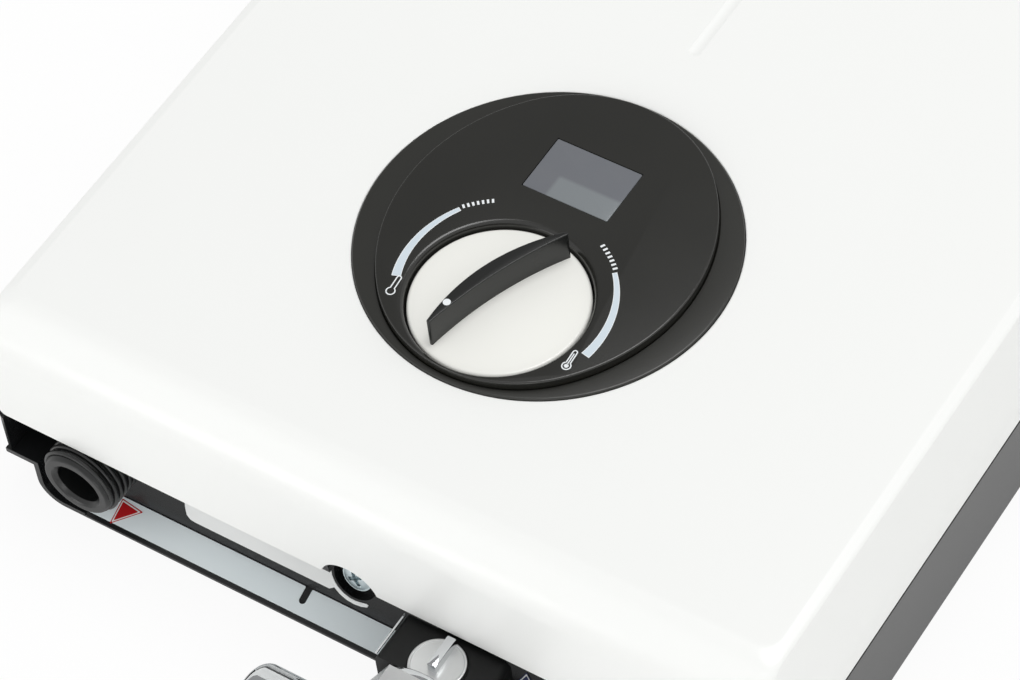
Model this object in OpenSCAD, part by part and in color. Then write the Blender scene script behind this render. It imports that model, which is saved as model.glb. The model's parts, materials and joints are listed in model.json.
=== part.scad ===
// Wall-hung tankless electric water heater, lying on its back.
// +X is right and +Y is up as seen on the wall, +Z points out of the front, and the wall plane is Z = 0.

/* [Casing] */
// Width of the hood
body_w = 216; // [208:1:236]
// Height of the hood
body_h = 375; // [365:1:420]
// Height of the hood's front face above the wall
casing_d = 65; // [64:0.5:75]
// Height of the joint between hood and back panel above the wall
parting_z = 29; // [28.5:0.5:33]
// Wall thickness of the hood
hood_wall = 2.5; // [2:0.1:3]
// Rounding of the casing's upright corners
corner_r = 4; // [3.5:0.5:6]
// Rounding across the lower and upper end of the hood
hood_end_r = 12.5; // [8:0.5:20]
// Draft of the hood's long sides
hood_draft = 2.5; // [1:0.1:4]
// Width of the shallow fall along the long front edges
edge_band = 3.4; // [2:0.1:6]
// Depth of the shallow fall along the long front edges
edge_fall = 0.5; // [0.3:0.1:1]
// Width of the shallow groove in the hood's front
groove_w = 2.4; // [1.5:0.1:4]
// Depth of the shallow groove
groove_depth = 0.6; // [0.3:0.1:1]
// Height of the groove's lower end above the dial's centre
groove_rise = 66; // [56:1:80]
// Distance of the groove's upper end from the top of the hood
groove_top_gap = 42; // [36:1:80]

/* [Back panel] */
// Step from the hood's outside to the panel's outside
panel_inset = 0.3; // [0.2:0.1:1.2]
// Reach of the panel past the hood at the lower end
panel_reach = 0.5; // [0:0.1:0.8]
// Wall thickness of the panel's sides and roof
panel_wall = 3; // [2.5:0.1:3.5]
// Thickness of the rear plate
plate_t = 2.5; // [2:0.1:3]
// Open joint under the hood's lip
shadow_gap = 1.4; // [0.8:0.1:2]
// Thickness of the tongue inside the hood
tongue_t = 2; // [1.5:0.1:2.5]
// Height of the tongue above the joint
tongue_h = 5; // [3:0.5:7]

/* [Connection bay] */
// Slope of the label ledge
ledge_angle = 20; // [15:1:26]
// Depth of the label ledge
ledge_run = 7.9; // [6:0.1:9]
// Edge thickness of the ledge at the rim
ledge_edge = 0.8; // [0.6:0.1:1.5]
// Right end of the ledge
ledge_right = 1.5; // [-4:0.5:6]
// Slope of the bay's rear face
bay_angle = 74; // [70:1:80]
// Thickness of the bay's floor
floor_t = 1.5; // [1.4:0.1:2.2]
// Height of the open notch under the lower corners
corner_notch_z = 13; // [9:0.5:16]
// Width of the open notch under the lower corners
corner_notch_w = 8.5; // [7.5:0.5:9]
// Distance of the trough's side from the hot outlet's axis
trough_r = 16; // [15:0.5:17]
// Rounding of the trough's lower corner
trough_corner_r = 7; // [4:0.5:10]

/* [Hood screw] */
// Sideways place of the screw
screw_x = -11.5; // [-18:0.5:-8]
// Height of the screw on the bay's rear face
screw_z = 13; // [12:0.5:16]
// Diameter of the screw's head
screw_head_d = 8.2; // [7:0.1:9]
// Diameter of the screw's shank
screw_d = 4; // [3:0.1:4.5]
// Diameter of the cup round the head
cup_d = 12.4; // [11:0.1:14]
// Sideways place of the arched notch in the hood's lip
arch_x = -4.5; // [-8:0.5:0]
// Radius of the arched notch
arch_r = 8; // [7:0.5:10]
// Rise of the arched notch above the hood's lip
arch_rise = 5.8; // [3:0.1:6.5]

/* [Dial] */
// Diameter of the round dial
dial_d = 92; // [91.6:0.2:98]
// Height of the dial's centre above the lower end
dial_h = 84.5; // [82:0.5:95]
// Width of the oval fascia plate
fascia_w = 77.2; // [74:0.2:79]
// Length of the oval fascia plate
fascia_l = 88.6; // [88:0.2:89]
// End radius of the oval fascia plate
fascia_end_r = 35; // [33:0.5:36]
// Rise of the fascia plate above the dial
fascia_rise = 2.3; // [1.5:0.1:3]
// Rise of the dial above the hood
dial_rise = 0.4; // [0.2:0.1:0.8]
// Width of the display window
display_w = 23.6; // [20:0.2:26]
// Height of the display window
display_l = 16.3; // [13:0.1:17]
// Sideways place of the display window
display_x = -1.5; // [-4:0.5:4]
// Height of the display window above the dial's centre
display_y = 18.1; // [17.5:0.1:21]

/* [Knob] */
// Diameter of the knob's disc
knob_d = 43.2; // [40:0.2:43.4]
// Distance of the knob below the dial's centre
knob_drop = 21.1; // [20:0.1:21.2]
// Height of the knob's rim above the hood
knob_rise = 1.2; // [0.6:0.1:2]
// Crown of the knob's disc
knob_crown = 1; // [0.5:0.1:1.5]
// Radius of the rounded edge of the knob's recess
recess_edge_r = 1.4; // [0.8:0.1:2]
// Running gap between the knob and its recess
knob_gap = 0.5; // [0.3:0.1:0.6]
// Height of the grip above the knob's rim
grip_h = 8.8; // [6:0.1:11]
// Length of the grip's pointer half
grip_tail = 19.5; // [17:0.1:19.8]
// Length of the grip's other half
grip_tip = 20.6; // [17:0.1:20.8]
// Bulge of the grip's outer side past its ends
grip_bulge = 4.3; // [4.2:0.1:6]
// Hollow of the grip's inner side past its ends
grip_hollow = 1.6; // [0.8:0.1:1.8]
// Width of the grip at its ends
grip_end_w = 1; // [0.8:0.1:1.5]
// Direction of the pointer at the cold stop
pointer_angle = 249; // [235:1:260]
// Diameter of the white dot on the grip
marker_d = 1.9; // [1.4:0.1:2]
// Distance of the white dot from the knob's axis
marker_r = 12.8; // [10:0.1:13]
// Diameter of the knob's shaft
shaft_d = 6; // [5:0.1:7]

/* [Water connections] */
// Distance of the hot outlet from the left side of the hood
hot_edge = 25.5; // [25:0.5:28]
// Sideways place of the cold inlet
cold_x = 25; // [22:0.5:27]
// Height of the water connections above the wall
pipe_z = 18.4; // [18:0.1:19]
// Outside diameter of the male threads
thread_d = 20.955; // [20:0.005:21]
// Bore of the threaded ends
thread_bore = 12; // [11:0.1:14]
// Reach of the hot outlet below the hood
stub_reach = 3.7; // [2:0.1:8]
// Outside diameter of the inner pipes
pipe_d = 15; // [14:0.1:16]
// Bore of the inner pipes
pipe_bore = 12; // [10:0.1:12.5]
// Bend radius of the outlet pipe
pipe_bend_r = 16; // [14:0.5:18]

/* [Inlet fitting and stop valve] */
// Outside diameter of the inlet fitting
fitting_d = 18; // [17.5:0.1:20]
// Width of the inlet's housing
housing_w = 28.6; // [26:0.1:29]
// Length of the inlet's housing below the hood
housing_l = 13.2; // [12.5:0.1:14]
// Rounding of the housing's long edges
housing_edge_r = 2; // [1:0.1:4]
// Distance of the regulator's axis below the hood
regulator_drop = 8.1; // [7.8:0.1:8.2]
// Diameter of the regulator's disc
regulator_d = 13.8; // [11:0.1:14]
// Length of the bar on the regulator's disc
bar_l = 9; // [7:0.1:9.4]
// Shift of the bar from the regulator's axis
bar_shift = 2.2; // [0:0.1:2.4]
// Width of the bar on the regulator's disc
bar_w = 2.4; // [1.8:0.1:3]
// Distance of the union nut's upper face below the hood
nut_drop = 15.3; // [15.3:0.1:18]
// Width across the flats of the union nut
nut_flats = 27; // [26:0.1:30]
// Length of the union nut
nut_l = 8.6; // [8.5:0.1:11]
// Diameter of the stop valve's body
valve_d = 24; // [23:0.1:26]
// Length of the stop valve's body
valve_l = 17.6; // [17.5:0.1:22]
// Diameter of the valve's ball
ball_d = 17; // [16:0.1:17.5]
// Length of the valve's threaded inlet
valve_thread_l = 12; // [10:0.5:16]
// Diameter of the valve's round handle
handle_d = 20; // [14:0.1:21]
// Length of the valve's round handle
handle_l = 18; // [14:0.5:22]
// Rounding of the handle's end
handle_r = 3; // [1:0.1:4]

/* [Heating block] */
// Distance between the block's three channels
channel_pitch = 30; // [28:0.5:31]
// Diameter of the channels
channel_d = 18; // [16:0.2:20]
// Gap between the block and the bracket's pocket
block_top_gap = 16.5; // [12:0.5:40]
// Wall round the channels
block_wall = 12; // [11:0.5:13]
// Thickness of the block above and below the channels' axes
block_half_t = 12.5; // [11.5:0.1:13]
// Height of the block's lower end above the dial's centre
block_rise = 73; // [71:0.5:80]
// Thickness of the seal between the block's halves
block_seal_t = 1; // [0.6:0.1:1.5]
// Diameter of the block's screws
block_screw_d = 4; // [3:0.1:4.5]

/* [Electrics] */
// Width of the power board
power_w = 44; // [40:0.5:46]
// Length of the power board
power_l = 140; // [120:1:145]
// Height of the power board above the rear plate
power_rise = 6.5; // [5:0.1:9]
// Thickness of the circuit boards
board_t = 1.6; // [1.2:0.1:2]
// Bore of the cable grommet
cable_d = 10; // [8:0.1:13]

/* [Wall bracket] */
// Length of the bracket
bracket_l = 96; // [90:1:100]
// Width of the bracket
bracket_w = 22; // [18:1:24]
// Thickness of the bracket
bracket_t = 2; // [1.5:0.1:2.5]
// Distance between the bracket's slots
slot_spacing = 70; // [60:1:72]
// Width of the bracket's slots
slot_w = 6; // [5:0.1:7]
// Length of the bracket's slots
slot_l = 12; // [10:0.1:14]
// Distance of the bracket's middle below the top of the hood
bracket_drop = 44; // [42:1:50]

/* [Hidden] */
$fn = 72;

// Clearance round fixed pieces, and running clearance of turning ones
fit = 0.1;
run = 0.05;
// Cuts reach this far past a face
past = 1;

// Casing levels
bottom_y = -body_h / 2;
top_y = body_h / 2;
rim_z = parting_z - shadow_gap;
roof_z = rim_z - panel_wall;
tongue_inset = hood_wall + 3 * fit;
seal_inset = panel_inset + 0.8;
panel_side_x = body_w / 2 - panel_inset;
panel_bottom_y = bottom_y - panel_reach;

// Connection bay, in the YZ plane
ledge_y = panel_bottom_y + ledge_run;
ledge_z = ledge_edge + ledge_run * tan(ledge_angle);
bay_wall_t = 2.6;
bay_foot_y = ledge_y - ledge_z / tan(bay_angle);
bay_top_y = bay_foot_y + roof_z / tan(bay_angle);
roof_front_y = bottom_y + seal_inset;
notch_x = panel_side_x - corner_notch_w;
arch_z = parting_z + arch_rise - arch_r;
arch_t = 1.8;
arch_back_y = bottom_y + hood_wall + 4.2;
boss_depth = 5;
cup_depth = 2.4;
post_d = 8;
post_l = 7;
rib_t = 3;
rib_w = 8;

// Dial stack, measured from the front
dial_y = bottom_y + dial_h;
dial_z = casing_d + dial_rise;
fascia_z = dial_z + fascia_rise;
fascia_seat = dial_z - 1;
bezel_face_z = fascia_seat - 2;
bezel_skirt = 3.4;
bezel_skirt_t = 1.2;
bezel_flange = 2.5;
board_depth = 17;
board_z = casing_d - board_depth;
board_w = 68;
board_l = 62;
board_post_x = 30;
board_post_y = 26;
board_post_d = 6;
board_screw_d = 2.4;
board_screw_bite = 4;
board_head_d = 5;
board_head_t = 2;
knob_y = dial_y - knob_drop;
knob_r = knob_d / 2;
knob_z = casing_d + knob_rise;
recess_r = knob_r + knob_gap;
recess_floor_z = casing_d - 4.7;
cup_floor_t = 1.8;
cup_r = recess_r + 1.4;
cap_t = 1.8;
knob_base_z = recess_floor_z + 1;
grip_base_z = knob_z - 0.8;
grip_top_z = knob_z + grip_h;
grip_set = 0.5;
pot_top_z = recess_floor_z - cup_floor_t - 2 * fit;
pot_w = 17;
lcd_w = display_w + 6;
lcd_l = display_l + 6;

// Water path, along Y at the cold inlet
hot_x = -body_w / 2 + hot_edge;
regulator_y = bottom_y - regulator_drop;
nut_y = bottom_y - nut_drop;
union_thread_l = 4;
union_gasket_t = 1.5;
union_collar_t = 1.5;
union_y = nut_y - union_thread_l;
collar_y = union_y - union_gasket_t;
valve_top_y = nut_y - nut_l;
ball_y = valve_top_y - valve_l / 2;
valve_bottom_y = valve_top_y - valve_l;
valve_bore = 11;
ball_bore = 10;
ball_socket = 2.2;
spindle_d = 6;
bonnet_d = 14;
bonnet_l = 5;
handle_x = cold_x - valve_d / 2 - 2 - bonnet_l;
regulator_stem_d = 6;
regulator_z = pipe_z + fitting_d / 2 - 0.8;
regulator_t = 1.6;
bar_h = 2.2;
sensor_rise = 25.5;
sensor_y = bottom_y + sensor_rise;
sensor_l = 34;
strainer_l = 14;
strainer_wall = 1;
sensor_d = 26;
turbine_d = 17;
turbine_l = 14;
axle_d = 2;
spider_t = 2;

// Heating block
pocket_room = 8;
block_y = dial_y + block_rise;
block_l = top_y - bracket_drop - pocket_l() / 2 - block_top_gap - block_y;
channel_l = block_l - 2 * block_wall;
block_w = 2 * channel_pitch + channel_d + 2 * block_wall;
block_x = cold_x - channel_pitch;
block_base_z = pipe_z - block_half_t;
block_top_z = pipe_z + block_half_t;
seal_low_z = pipe_z - block_seal_t / 2;
seal_high_z = pipe_z + block_seal_t / 2;
channel_y = block_y + block_wall;
outlet_channel_x = cold_x - 2 * channel_pitch;
block_screw_x = block_w / 2 - 5;
block_screw_y = [block_y + 5, block_y + block_l / 2, block_y + block_l - 5];
screw_head_t = 3;
sensor_port_y = block_y + block_wall / 2;
sensor_probe_d = 6;
sensor_head_d = 10;
sensor_head_t = 4;
stud_d = 5;
stud_inset = 16;
stud_nut_d = 9;
stud_nut_t = 4;
coil_inset = 14;
coil_depth = 2.5;
turn_w = 10;
turn_inset = 2;
stud_top_z = block_top_z + 9;
cutout_y = block_y + block_l * 0.6;
cutout_d = 18;
cutout_h = 7;
button_d = 5;
button_travel = 1.2;

// Outlet side
stub_face_y = bottom_y - stub_reach;
stub_flange_rise = 21;
stub_flange_y = bottom_y + stub_flange_rise;
stub_flange_t = 5;
stub_flange_d = 27;
outlet_start_y = stub_flange_y + stub_flange_t;
outlet_bend_y = block_y - 2 * pipe_bend_r - 8;

// Electrics on the right side
power_x = panel_side_x - panel_wall - 4 - power_w / 2;
power_z = plate_t + power_rise;
power_above = 62;
power_y = dial_y + power_above;
power_hole_x = power_w / 2 - 5;
power_hole_y = power_l / 2 - 5;
relay_w = 28;
relay_l = 12;
relay_h = 15;
relay_pitch = 15;
capacitor_d = 12;
capacitor_h = 18;
capacitor_x = 8;
capacitor_y = 28;
terminal_w = 38;
terminal_l = 44;
terminal_h = 17;
terminal_pitch = 12;
terminal_row = 12;
terminal_wire_z = 7;
terminal_wire_d = 5;
terminal_screw_d = 7;
terminal_screw_l = 6;
terminal_gap = 12;
grommet_gap = 20;
terminal_y = power_y + power_l / 2 + terminal_gap + terminal_l / 2;
grommet_y = terminal_y + terminal_l / 2 + grommet_gap;
grommet_wall = 5;
grommet_d = cable_d + 2 * grommet_wall;
grommet_flange = 3;
triac_l = 16;
triac_w = 10.4;
triac_tab = 1.5;
sink_w = 32;
sink_l = 44;
sink_gap = 22;
sink_y = block_y - sink_gap - sink_l;
sink_above = 11;
sink_below = 10;
sink_top_z = pipe_z + sink_above;
ribbon_rise = 8;
ribbon_y = dial_y + ribbon_rise;
ribbon_w = 12;
ribbon_t = 0.8;
ribbon_margin = 1;
plug_h = 5;
plug_l = 6;
plug_inset = 8;

// Wall bracket
bracket_y = top_y - bracket_drop;
pocket_z = 5;
pocket_w = bracket_l + pocket_room;
bracket_stud_d = 6;
bracket_nut_t = 6;
bracket_washer_d = 20;

// Plain helpers

module y_cyl(d, l) {
    rotate([-90, 0, 0]) cylinder(d = d, h = l);
}

module x_cyl(d, l) {
    rotate([0, 90, 0]) cylinder(d = d, h = l);
}

module round_rect(w, l, r) {
    square([w - 2 * r, l], center = true);
    square([w, l - 2 * r], center = true);
    for (x = [-1, 1], y = [-1, 1])
        translate([x * (w / 2 - r), y * (l / 2 - r)]) circle(r);
}

// Outline of the casing seen from the front, drawn in by an inset
module casing_plan(inset) {
    round_rect(body_w - 2 * inset, body_h - 2 * inset, max(corner_r - inset, 0.5));
}

// Outline of the panel, which reaches past the hood at the lower end
module panel_plan(inset) {
    extra = panel_inset + panel_reach;
    translate([0, -extra / 2])
        round_rect(body_w - 2 * inset, body_h - 2 * inset + extra, max(corner_r - inset, 0.5));
}

// Cross-section of the hood with drafted sides and a shallow fall along the long front edges
module hood_section(inset, base) {
    half = body_w / 2 - inset;
    top = casing_d - inset;
    draft_z = parting_z + tongue_h + 2;
    polygon([
        [-half, base], [half, base], [half, draft_z], [half - hood_draft, top - edge_fall],
        [half - hood_draft - edge_band, top], [-half + hood_draft + edge_band, top],
        [-half + hood_draft, top - edge_fall], [-half, draft_z]
    ]);
}

// Side view of the hood with rounded ends
module end_section(l, base, top, r) {
    translate([-l / 2, base]) square([l, top - r - base]);
    translate([-l / 2 + r, base]) square([l - 2 * r, top - base]);
    for (y = [-1, 1]) translate([y * (l / 2 - r), top - r]) circle(r);
}

// Outer form of the hood, drawn in by an inset, from a base level upwards
module hood_form(inset, base) {
    top = casing_d - inset;
    intersection() {
        translate([0, body_h / 2, 0]) rotate([90, 0, 0]) linear_extrude(body_h) hood_section(inset, base);
        translate([-body_w / 2, 0, 0]) rotate([90, 0, 90]) linear_extrude(body_w)
            end_section(body_h - 2 * inset, base, top, hood_end_r - inset);
        translate([0, 0, base]) linear_extrude(top - base) casing_plan(inset);
    }
}

// Oval of four arcs
module oval(w, l, end_r) {
    c = l / 2 - end_r;
    side_r = (pow(w / 2, 2) + c * c - end_r * end_r) / (2 * (w / 2 - end_r));
    side_c = side_r - w / 2;
    join_y = side_r * c / sqrt(c * c + side_c * side_c);
    for (y = [-c, c]) translate([0, y]) circle(end_r);
    intersection() {
        translate([side_c, 0]) circle(side_r);
        translate([-side_c, 0]) circle(side_r);
        square([w, 2 * join_y], center = true);
    }
}

// Place on the bay's rear face, with +Z along the hood screw towards the hand
module at_screw() {
    translate([screw_x, bay_foot_y + screw_z / tan(bay_angle), screw_z]) rotate([bay_angle, 0, 0]) children();
}

module at_dial() {
    translate([0, dial_y, 0]) children();
}

module at_knob() {
    translate([0, knob_y, 0]) children();
}

// Casing

module tray() {
    difference() {
        linear_extrude(rim_z) panel_plan(panel_inset);
        translate([0, 0, plate_t]) linear_extrude(rim_z) panel_plan(panel_inset + panel_wall);
        translate([-panel_side_x + panel_wall, panel_bottom_y - past, -past]) cube([
            2 * (panel_side_x - panel_wall), bay_foot_y + bay_wall_t / 2 - panel_bottom_y + past, rim_z + 2 * past
        ]);
        for (s = [0, 1]) mirror([s, 0, 0]) translate([notch_x, panel_bottom_y - past, -past])
            cube([body_w, bay_foot_y - panel_bottom_y + past, corner_notch_z + past]);
    }
    translate([0, 0, rim_z - 2]) linear_extrude(shadow_gap + tongue_h + 2) difference() {
        casing_plan(tongue_inset);
        casing_plan(tongue_inset + tongue_t);
    }
}

// Rear face and roof of the bay, with the ledge for the label
module bay_shell() {
    reach = panel_side_x - panel_wall + 1;
    translate([-reach, 0, 0]) rotate([90, 0, 90]) linear_extrude(2 * reach) polygon([
        [bay_foot_y, 0], [bay_top_y, roof_z], [roof_front_y, roof_z], [roof_front_y, rim_z],
        [bay_top_y + bay_wall_t, rim_z], [bay_foot_y + bay_wall_t, 0]
    ]);
    ledge_left = hot_x - 4;
    translate([ledge_left, 0, 0]) rotate([90, 0, 90]) linear_extrude(ledge_right - ledge_left) polygon([
        [panel_bottom_y, 0], [panel_bottom_y, ledge_edge], [ledge_y, ledge_z],
        [ledge_y + 1, ledge_z], [ledge_y + 1, 0]
    ]);
}

module bay_floor() {
    depth = bay_foot_y + 1 - panel_bottom_y;
    trough_x = hot_x - trough_r;
    shelf_x = -notch_x - corner_notch_w + 1;
    translate([0, panel_bottom_y, 0]) {
        translate([shelf_x, 0, corner_notch_z]) cube([trough_x + floor_t - shelf_x, depth, floor_t]);
        translate([ledge_right - 1, 0, 0]) cube([notch_x - ledge_right + 1, depth, floor_t]);
        translate([notch_x - floor_t, 0, 0]) cube([floor_t, depth, corner_notch_z + floor_t]);
        translate([notch_x - floor_t, 0, corner_notch_z]) cube([corner_notch_w + floor_t - 1, depth, floor_t]);
        translate([trough_x, 0, trough_corner_r]) cube([floor_t, depth, corner_notch_z + floor_t - trough_corner_r]);
        translate([trough_x + trough_corner_r, 0, 0]) cube([trough_r - trough_corner_r - 3, depth, floor_t]);
        intersection() {
            translate([trough_x + trough_corner_r, 0, trough_corner_r]) difference() {
                y_cyl(2 * trough_corner_r, depth);
                translate([0, -past, 0]) y_cyl(2 * (trough_corner_r - floor_t), depth + 2 * past);
            }
            translate([trough_x, 0, 0]) cube([trough_corner_r, depth, trough_corner_r]);
        }
    }
}

// Arched pocket that lets the hand see the hood screw
module screw_arch() {
    translate([arch_x, bottom_y + tongue_inset, arch_z]) intersection() {
        y_cyl(2 * (arch_r + arch_t), arch_back_y + arch_t - bottom_y - tongue_inset);
        translate([-body_w / 2, -past, roof_z - arch_z]) cube(body_w);
    }
}

// Length of the pocket behind which the bracket lies
function pocket_l() = bracket_w + pocket_room;

module bracket_pocket() {
    translate([-pocket_w / 2, bracket_y - pocket_l() / 2, 0]) cube([pocket_w, pocket_l(), pocket_z + plate_t]);
}

module panel_posts() {
    for (x = [-1, 1], y = block_screw_y)
        translate([block_x + x * block_screw_x, y, plate_t / 2]) cylinder(d = 9, h = block_base_z - plate_t / 2);
    for (x = [-1, 1], y = [-1, 1])
        translate([power_x + x * power_hole_x, power_y + y * power_hole_y, plate_t / 2])
            cylinder(d = 7, h = power_z - plate_t / 2);
}

// Ways out for the hot outlet and the cold inlet
module pipe_holes() {
    translate([hot_x, bottom_y - past, pipe_z]) y_cyl(thread_d + 2 * fit, stub_flange_y - bottom_y + past);
    translate([cold_x, bottom_y - past, pipe_z]) y_cyl(fitting_d + 2 * fit, sensor_y - bottom_y + past);
}

module panel_holes() {
    pipe_holes();
    translate([arch_x, bottom_y - past, arch_z]) y_cyl(2 * arch_r, arch_back_y - bottom_y + past);
    at_screw() {
        translate([0, 0, -cup_depth]) cylinder(d = cup_d, h = cup_depth + 5);
        translate([0, 0, -boss_depth - past]) cylinder(d = screw_d + 4 * fit, h = boss_depth + 2 * past);
    }
    for (x = [-1, 1], y = block_screw_y)
        translate([block_x + x * block_screw_x, y, plate_t + 0.2]) cylinder(d = block_screw_d + 2 * run, h = block_base_z);
    for (x = [-1, 1], y = [-1, 1])
        translate([power_x + x * power_hole_x, power_y + y * power_hole_y, plate_t + 0.5])
            cylinder(d = board_screw_d + 2 * run, h = power_z);
    translate([power_x, grommet_y, -past]) cylinder(d = grommet_d + 2 * fit, h = plate_t + 2 * past);
    translate([-pocket_w / 2 + plate_t, bracket_y - pocket_l() / 2 + plate_t, -past])
        cube([pocket_w - 2 * plate_t, pocket_l() - 2 * plate_t, pocket_z + past]);
    translate([0, bracket_y, 0]) cylinder(d = bracket_stud_d + 1, h = pocket_z + plate_t + past);
    for (x = [-1, 1]) translate([x * slot_spacing / 2, bracket_y, 0])
        cylinder(d = slot_l + 4, h = pocket_z + plate_t + past);
}

module back_panel() color("#2a2b2b") difference() {
    union() {
        tray();
        bay_shell();
        bay_floor();
        screw_arch();
        bracket_pocket();
        panel_posts();
        at_screw() translate([0, 0, -boss_depth]) cylinder(d = cup_d + 3, h = boss_depth - 0.5);
    }
    panel_holes();
}

module hood() color("#f4f4f2") {
    difference() {
        hood_form(0, parting_z);
        hood_form(hood_wall, parting_z - past);
        at_dial() translate([0, 0, casing_d - hood_wall - past])
            cylinder(d = dial_d + 2 * fit, h = hood_wall + 2 * past);
        groove();
        pipe_holes();
        translate([arch_x, bottom_y - past, arch_z]) y_cyl(2 * arch_r, hood_wall + 2 * past);
    }
    hood_post();
}

module groove() {
    low = dial_y + groove_rise;
    high = top_y - groove_top_gap;
    translate([0, 0, casing_d - groove_depth]) {
        for (y = [low, high]) translate([0, y, 0]) cylinder(d = groove_w, h = groove_depth + past);
        translate([-groove_w / 2, low, 0]) cube([groove_w, high - low, groove_depth + past]);
    }
}

// Post that takes the hood screw, on a rib from the hood's front
module hood_post() {
    rib_y = bay_top_y + bay_wall_t + 1;
    difference() {
        union() {
            at_screw() translate([0, 0, -boss_depth - post_l]) cylinder(d = post_d, h = post_l);
            translate([screw_x - rib_t / 2, rib_y, screw_z - 1])
                cube([rib_t, rib_w, casing_d - hood_wall / 2 - screw_z + 1]);
        }
        at_screw() translate([0, 0, -boss_depth - post_l - past])
            cylinder(d = screw_d + 2 * run, h = post_l + 2 * past);
        at_screw() translate([0, 0, -boss_depth]) cylinder(d = cup_d + 4, h = boss_depth);
    }
}

module casing_seal() color("#161616") difference() {
    translate([0, 0, rim_z]) linear_extrude(shadow_gap) difference() {
        casing_plan(seal_inset);
        casing_plan(tongue_inset);
    }
    translate([hot_x - stub_flange_d / 2, bottom_y, rim_z - past])
        cube([cold_x - hot_x + stub_flange_d, hood_wall + tongue_t, shadow_gap + 2 * past]);
}

module hood_screw() color("#c9ccd0") at_screw() difference() {
    union() {
        translate([0, 0, -cup_depth]) cylinder(d = screw_head_d, h = 1.6);
        translate([0, 0, -cup_depth + 1.6]) intersection() {
            cylinder(d = screw_head_d, h = 1);
            translate([0, 0, 1 - screw_head_d]) sphere(d = 2 * screw_head_d);
        }
        translate([0, 0, -boss_depth - post_l + 1]) cylinder(d = screw_d, h = boss_depth + post_l - 1 - cup_depth);
    }
    for (a = [0, 90]) rotate([0, 0, a + 30]) translate([0, 0, -0.6]) cube([4.4, 0.9, 2], center = true);
}

module wall_bracket() color("#b9bdc0") translate([0, bracket_y, 0]) {
    difference() {
        linear_extrude(bracket_t) round_rect(bracket_l, bracket_w, 3);
        for (x = [-1, 1]) translate([x * slot_spacing / 2, 0, -past]) {
            for (e = [-1, 1]) translate([e * (slot_l - slot_w) / 2, 0, 0]) cylinder(d = slot_w, h = bracket_t + 2 * past);
            translate([-(slot_l - slot_w) / 2, -slot_w / 2, 0]) cube([slot_l - slot_w, slot_w, bracket_t + 2 * past]);
        }
    }
    cylinder(d = bracket_stud_d, h = pocket_z + plate_t + bracket_nut_t + 2);
}

module bracket_nut() color("#e6e6e2") translate([0, bracket_y, pocket_z + plate_t]) difference() {
    union() {
        cylinder(d = bracket_washer_d, h = bracket_nut_t / 3);
        cylinder(d = bracket_washer_d - 5, h = bracket_nut_t, $fn = 6);
    }
    translate([0, 0, -past]) cylinder(d = bracket_stud_d + 2 * fit, h = bracket_nut_t + 2 * past);
}

// Dial

module dial_bezel() color("#2f2f2d") at_dial() difference() {
    union() {
        difference() {
            union() {
                translate([0, 0, bezel_face_z - bezel_skirt])
                    cylinder(d = dial_d, h = dial_z - bezel_face_z + bezel_skirt);
                translate([0, 0, casing_d - hood_wall - 2]) cylinder(d = dial_d + 2 * bezel_flange, h = 2);
            }
            translate([0, 0, bezel_face_z - bezel_skirt - past])
                cylinder(d = dial_d - 2 * bezel_skirt_t, h = bezel_skirt + past);
        }
        board_posts();
    }
    translate([0, 0, fascia_seat]) linear_extrude(dial_z) fascia_plan(fit);
    linear_extrude(dial_z) cup_plan(fit);
    translate([display_x - display_w / 2, display_y - display_l / 2, 0]) cube([display_w, display_l, dial_z]);
    for (x = [-1, 1], y = [-1, 1]) translate([x * board_post_x, y * board_post_y, 0])
        cylinder(d = board_screw_d + 2 * run, h = board_z + board_t + board_screw_bite + 0.5);
}

// Outline of the fascia plate, and of the cup for the knob under it, let out by a clearance
module fascia_plan(clear) {
    oval(fascia_w + 2 * clear, fascia_l + 2 * clear, fascia_end_r + clear);
}

module cup_plan(clear) {
    intersection() {
        fascia_plan(clear);
        translate([0, -knob_drop]) circle(cup_r + clear);
    }
}

// Posts under the dial that carry the control board
module board_posts() {
    for (x = [-1, 1], y = [-1, 1]) translate([x * board_post_x, y * board_post_y, board_z + board_t])
        cylinder(d = board_post_d, h = bezel_face_z + 0.5 - board_z - board_t);
}

module fascia_plate() color("#33332f") at_dial() difference() {
    union() {
        hull() {
            translate([0, 0, fascia_seat]) linear_extrude(fascia_rise) oval(fascia_w, fascia_l, fascia_end_r, $fn = 90);
            translate([0, 0, fascia_z - 0.5]) linear_extrude(0.2)
                oval(fascia_w - 1, fascia_l - 1, fascia_end_r - 0.5, $fn = 90);
            translate([0, 0, fascia_z - 0.1]) linear_extrude(0.1)
                oval(fascia_w - 2.6, fascia_l - 2.6, fascia_end_r - 1.3, $fn = 90);
        }
        translate([0, 0, recess_floor_z - cup_floor_t])
            linear_extrude(fascia_seat + 1 - recess_floor_z + cup_floor_t) cup_plan(0);
    }
    translate([0, -knob_drop, 0]) {
        rotate_extrude() recess_section();
        cylinder(d = shaft_d + 1, h = recess_floor_z + past);
    }
    translate([display_x - display_w / 2, display_y - display_l / 2, fascia_z - 1.4]) cube([display_w, display_l, 2]);
    translate([display_x - display_w / 2 + 1, display_y - display_l / 2 + 1, 0])
        cube([display_w - 2, display_l - 2, fascia_z]);
}

// Section of the knob's recess, with its rolled edge
module recess_section() {
    translate([0, recess_floor_z]) square([recess_r, fascia_z + past - recess_floor_z]);
    difference() {
        translate([0, fascia_z - recess_edge_r]) square([recess_r + recess_edge_r, recess_edge_r + past]);
        translate([recess_r + recess_edge_r, fascia_z - recess_edge_r]) circle(recess_edge_r);
    }
}

module display_window() color("#77797f") at_dial()
    translate([display_x - display_w / 2 + fit, display_y - display_l / 2 + fit, fascia_z - 1.4])
        cube([display_w - 2 * fit, display_l - 2 * fit, 1.3]);

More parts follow.
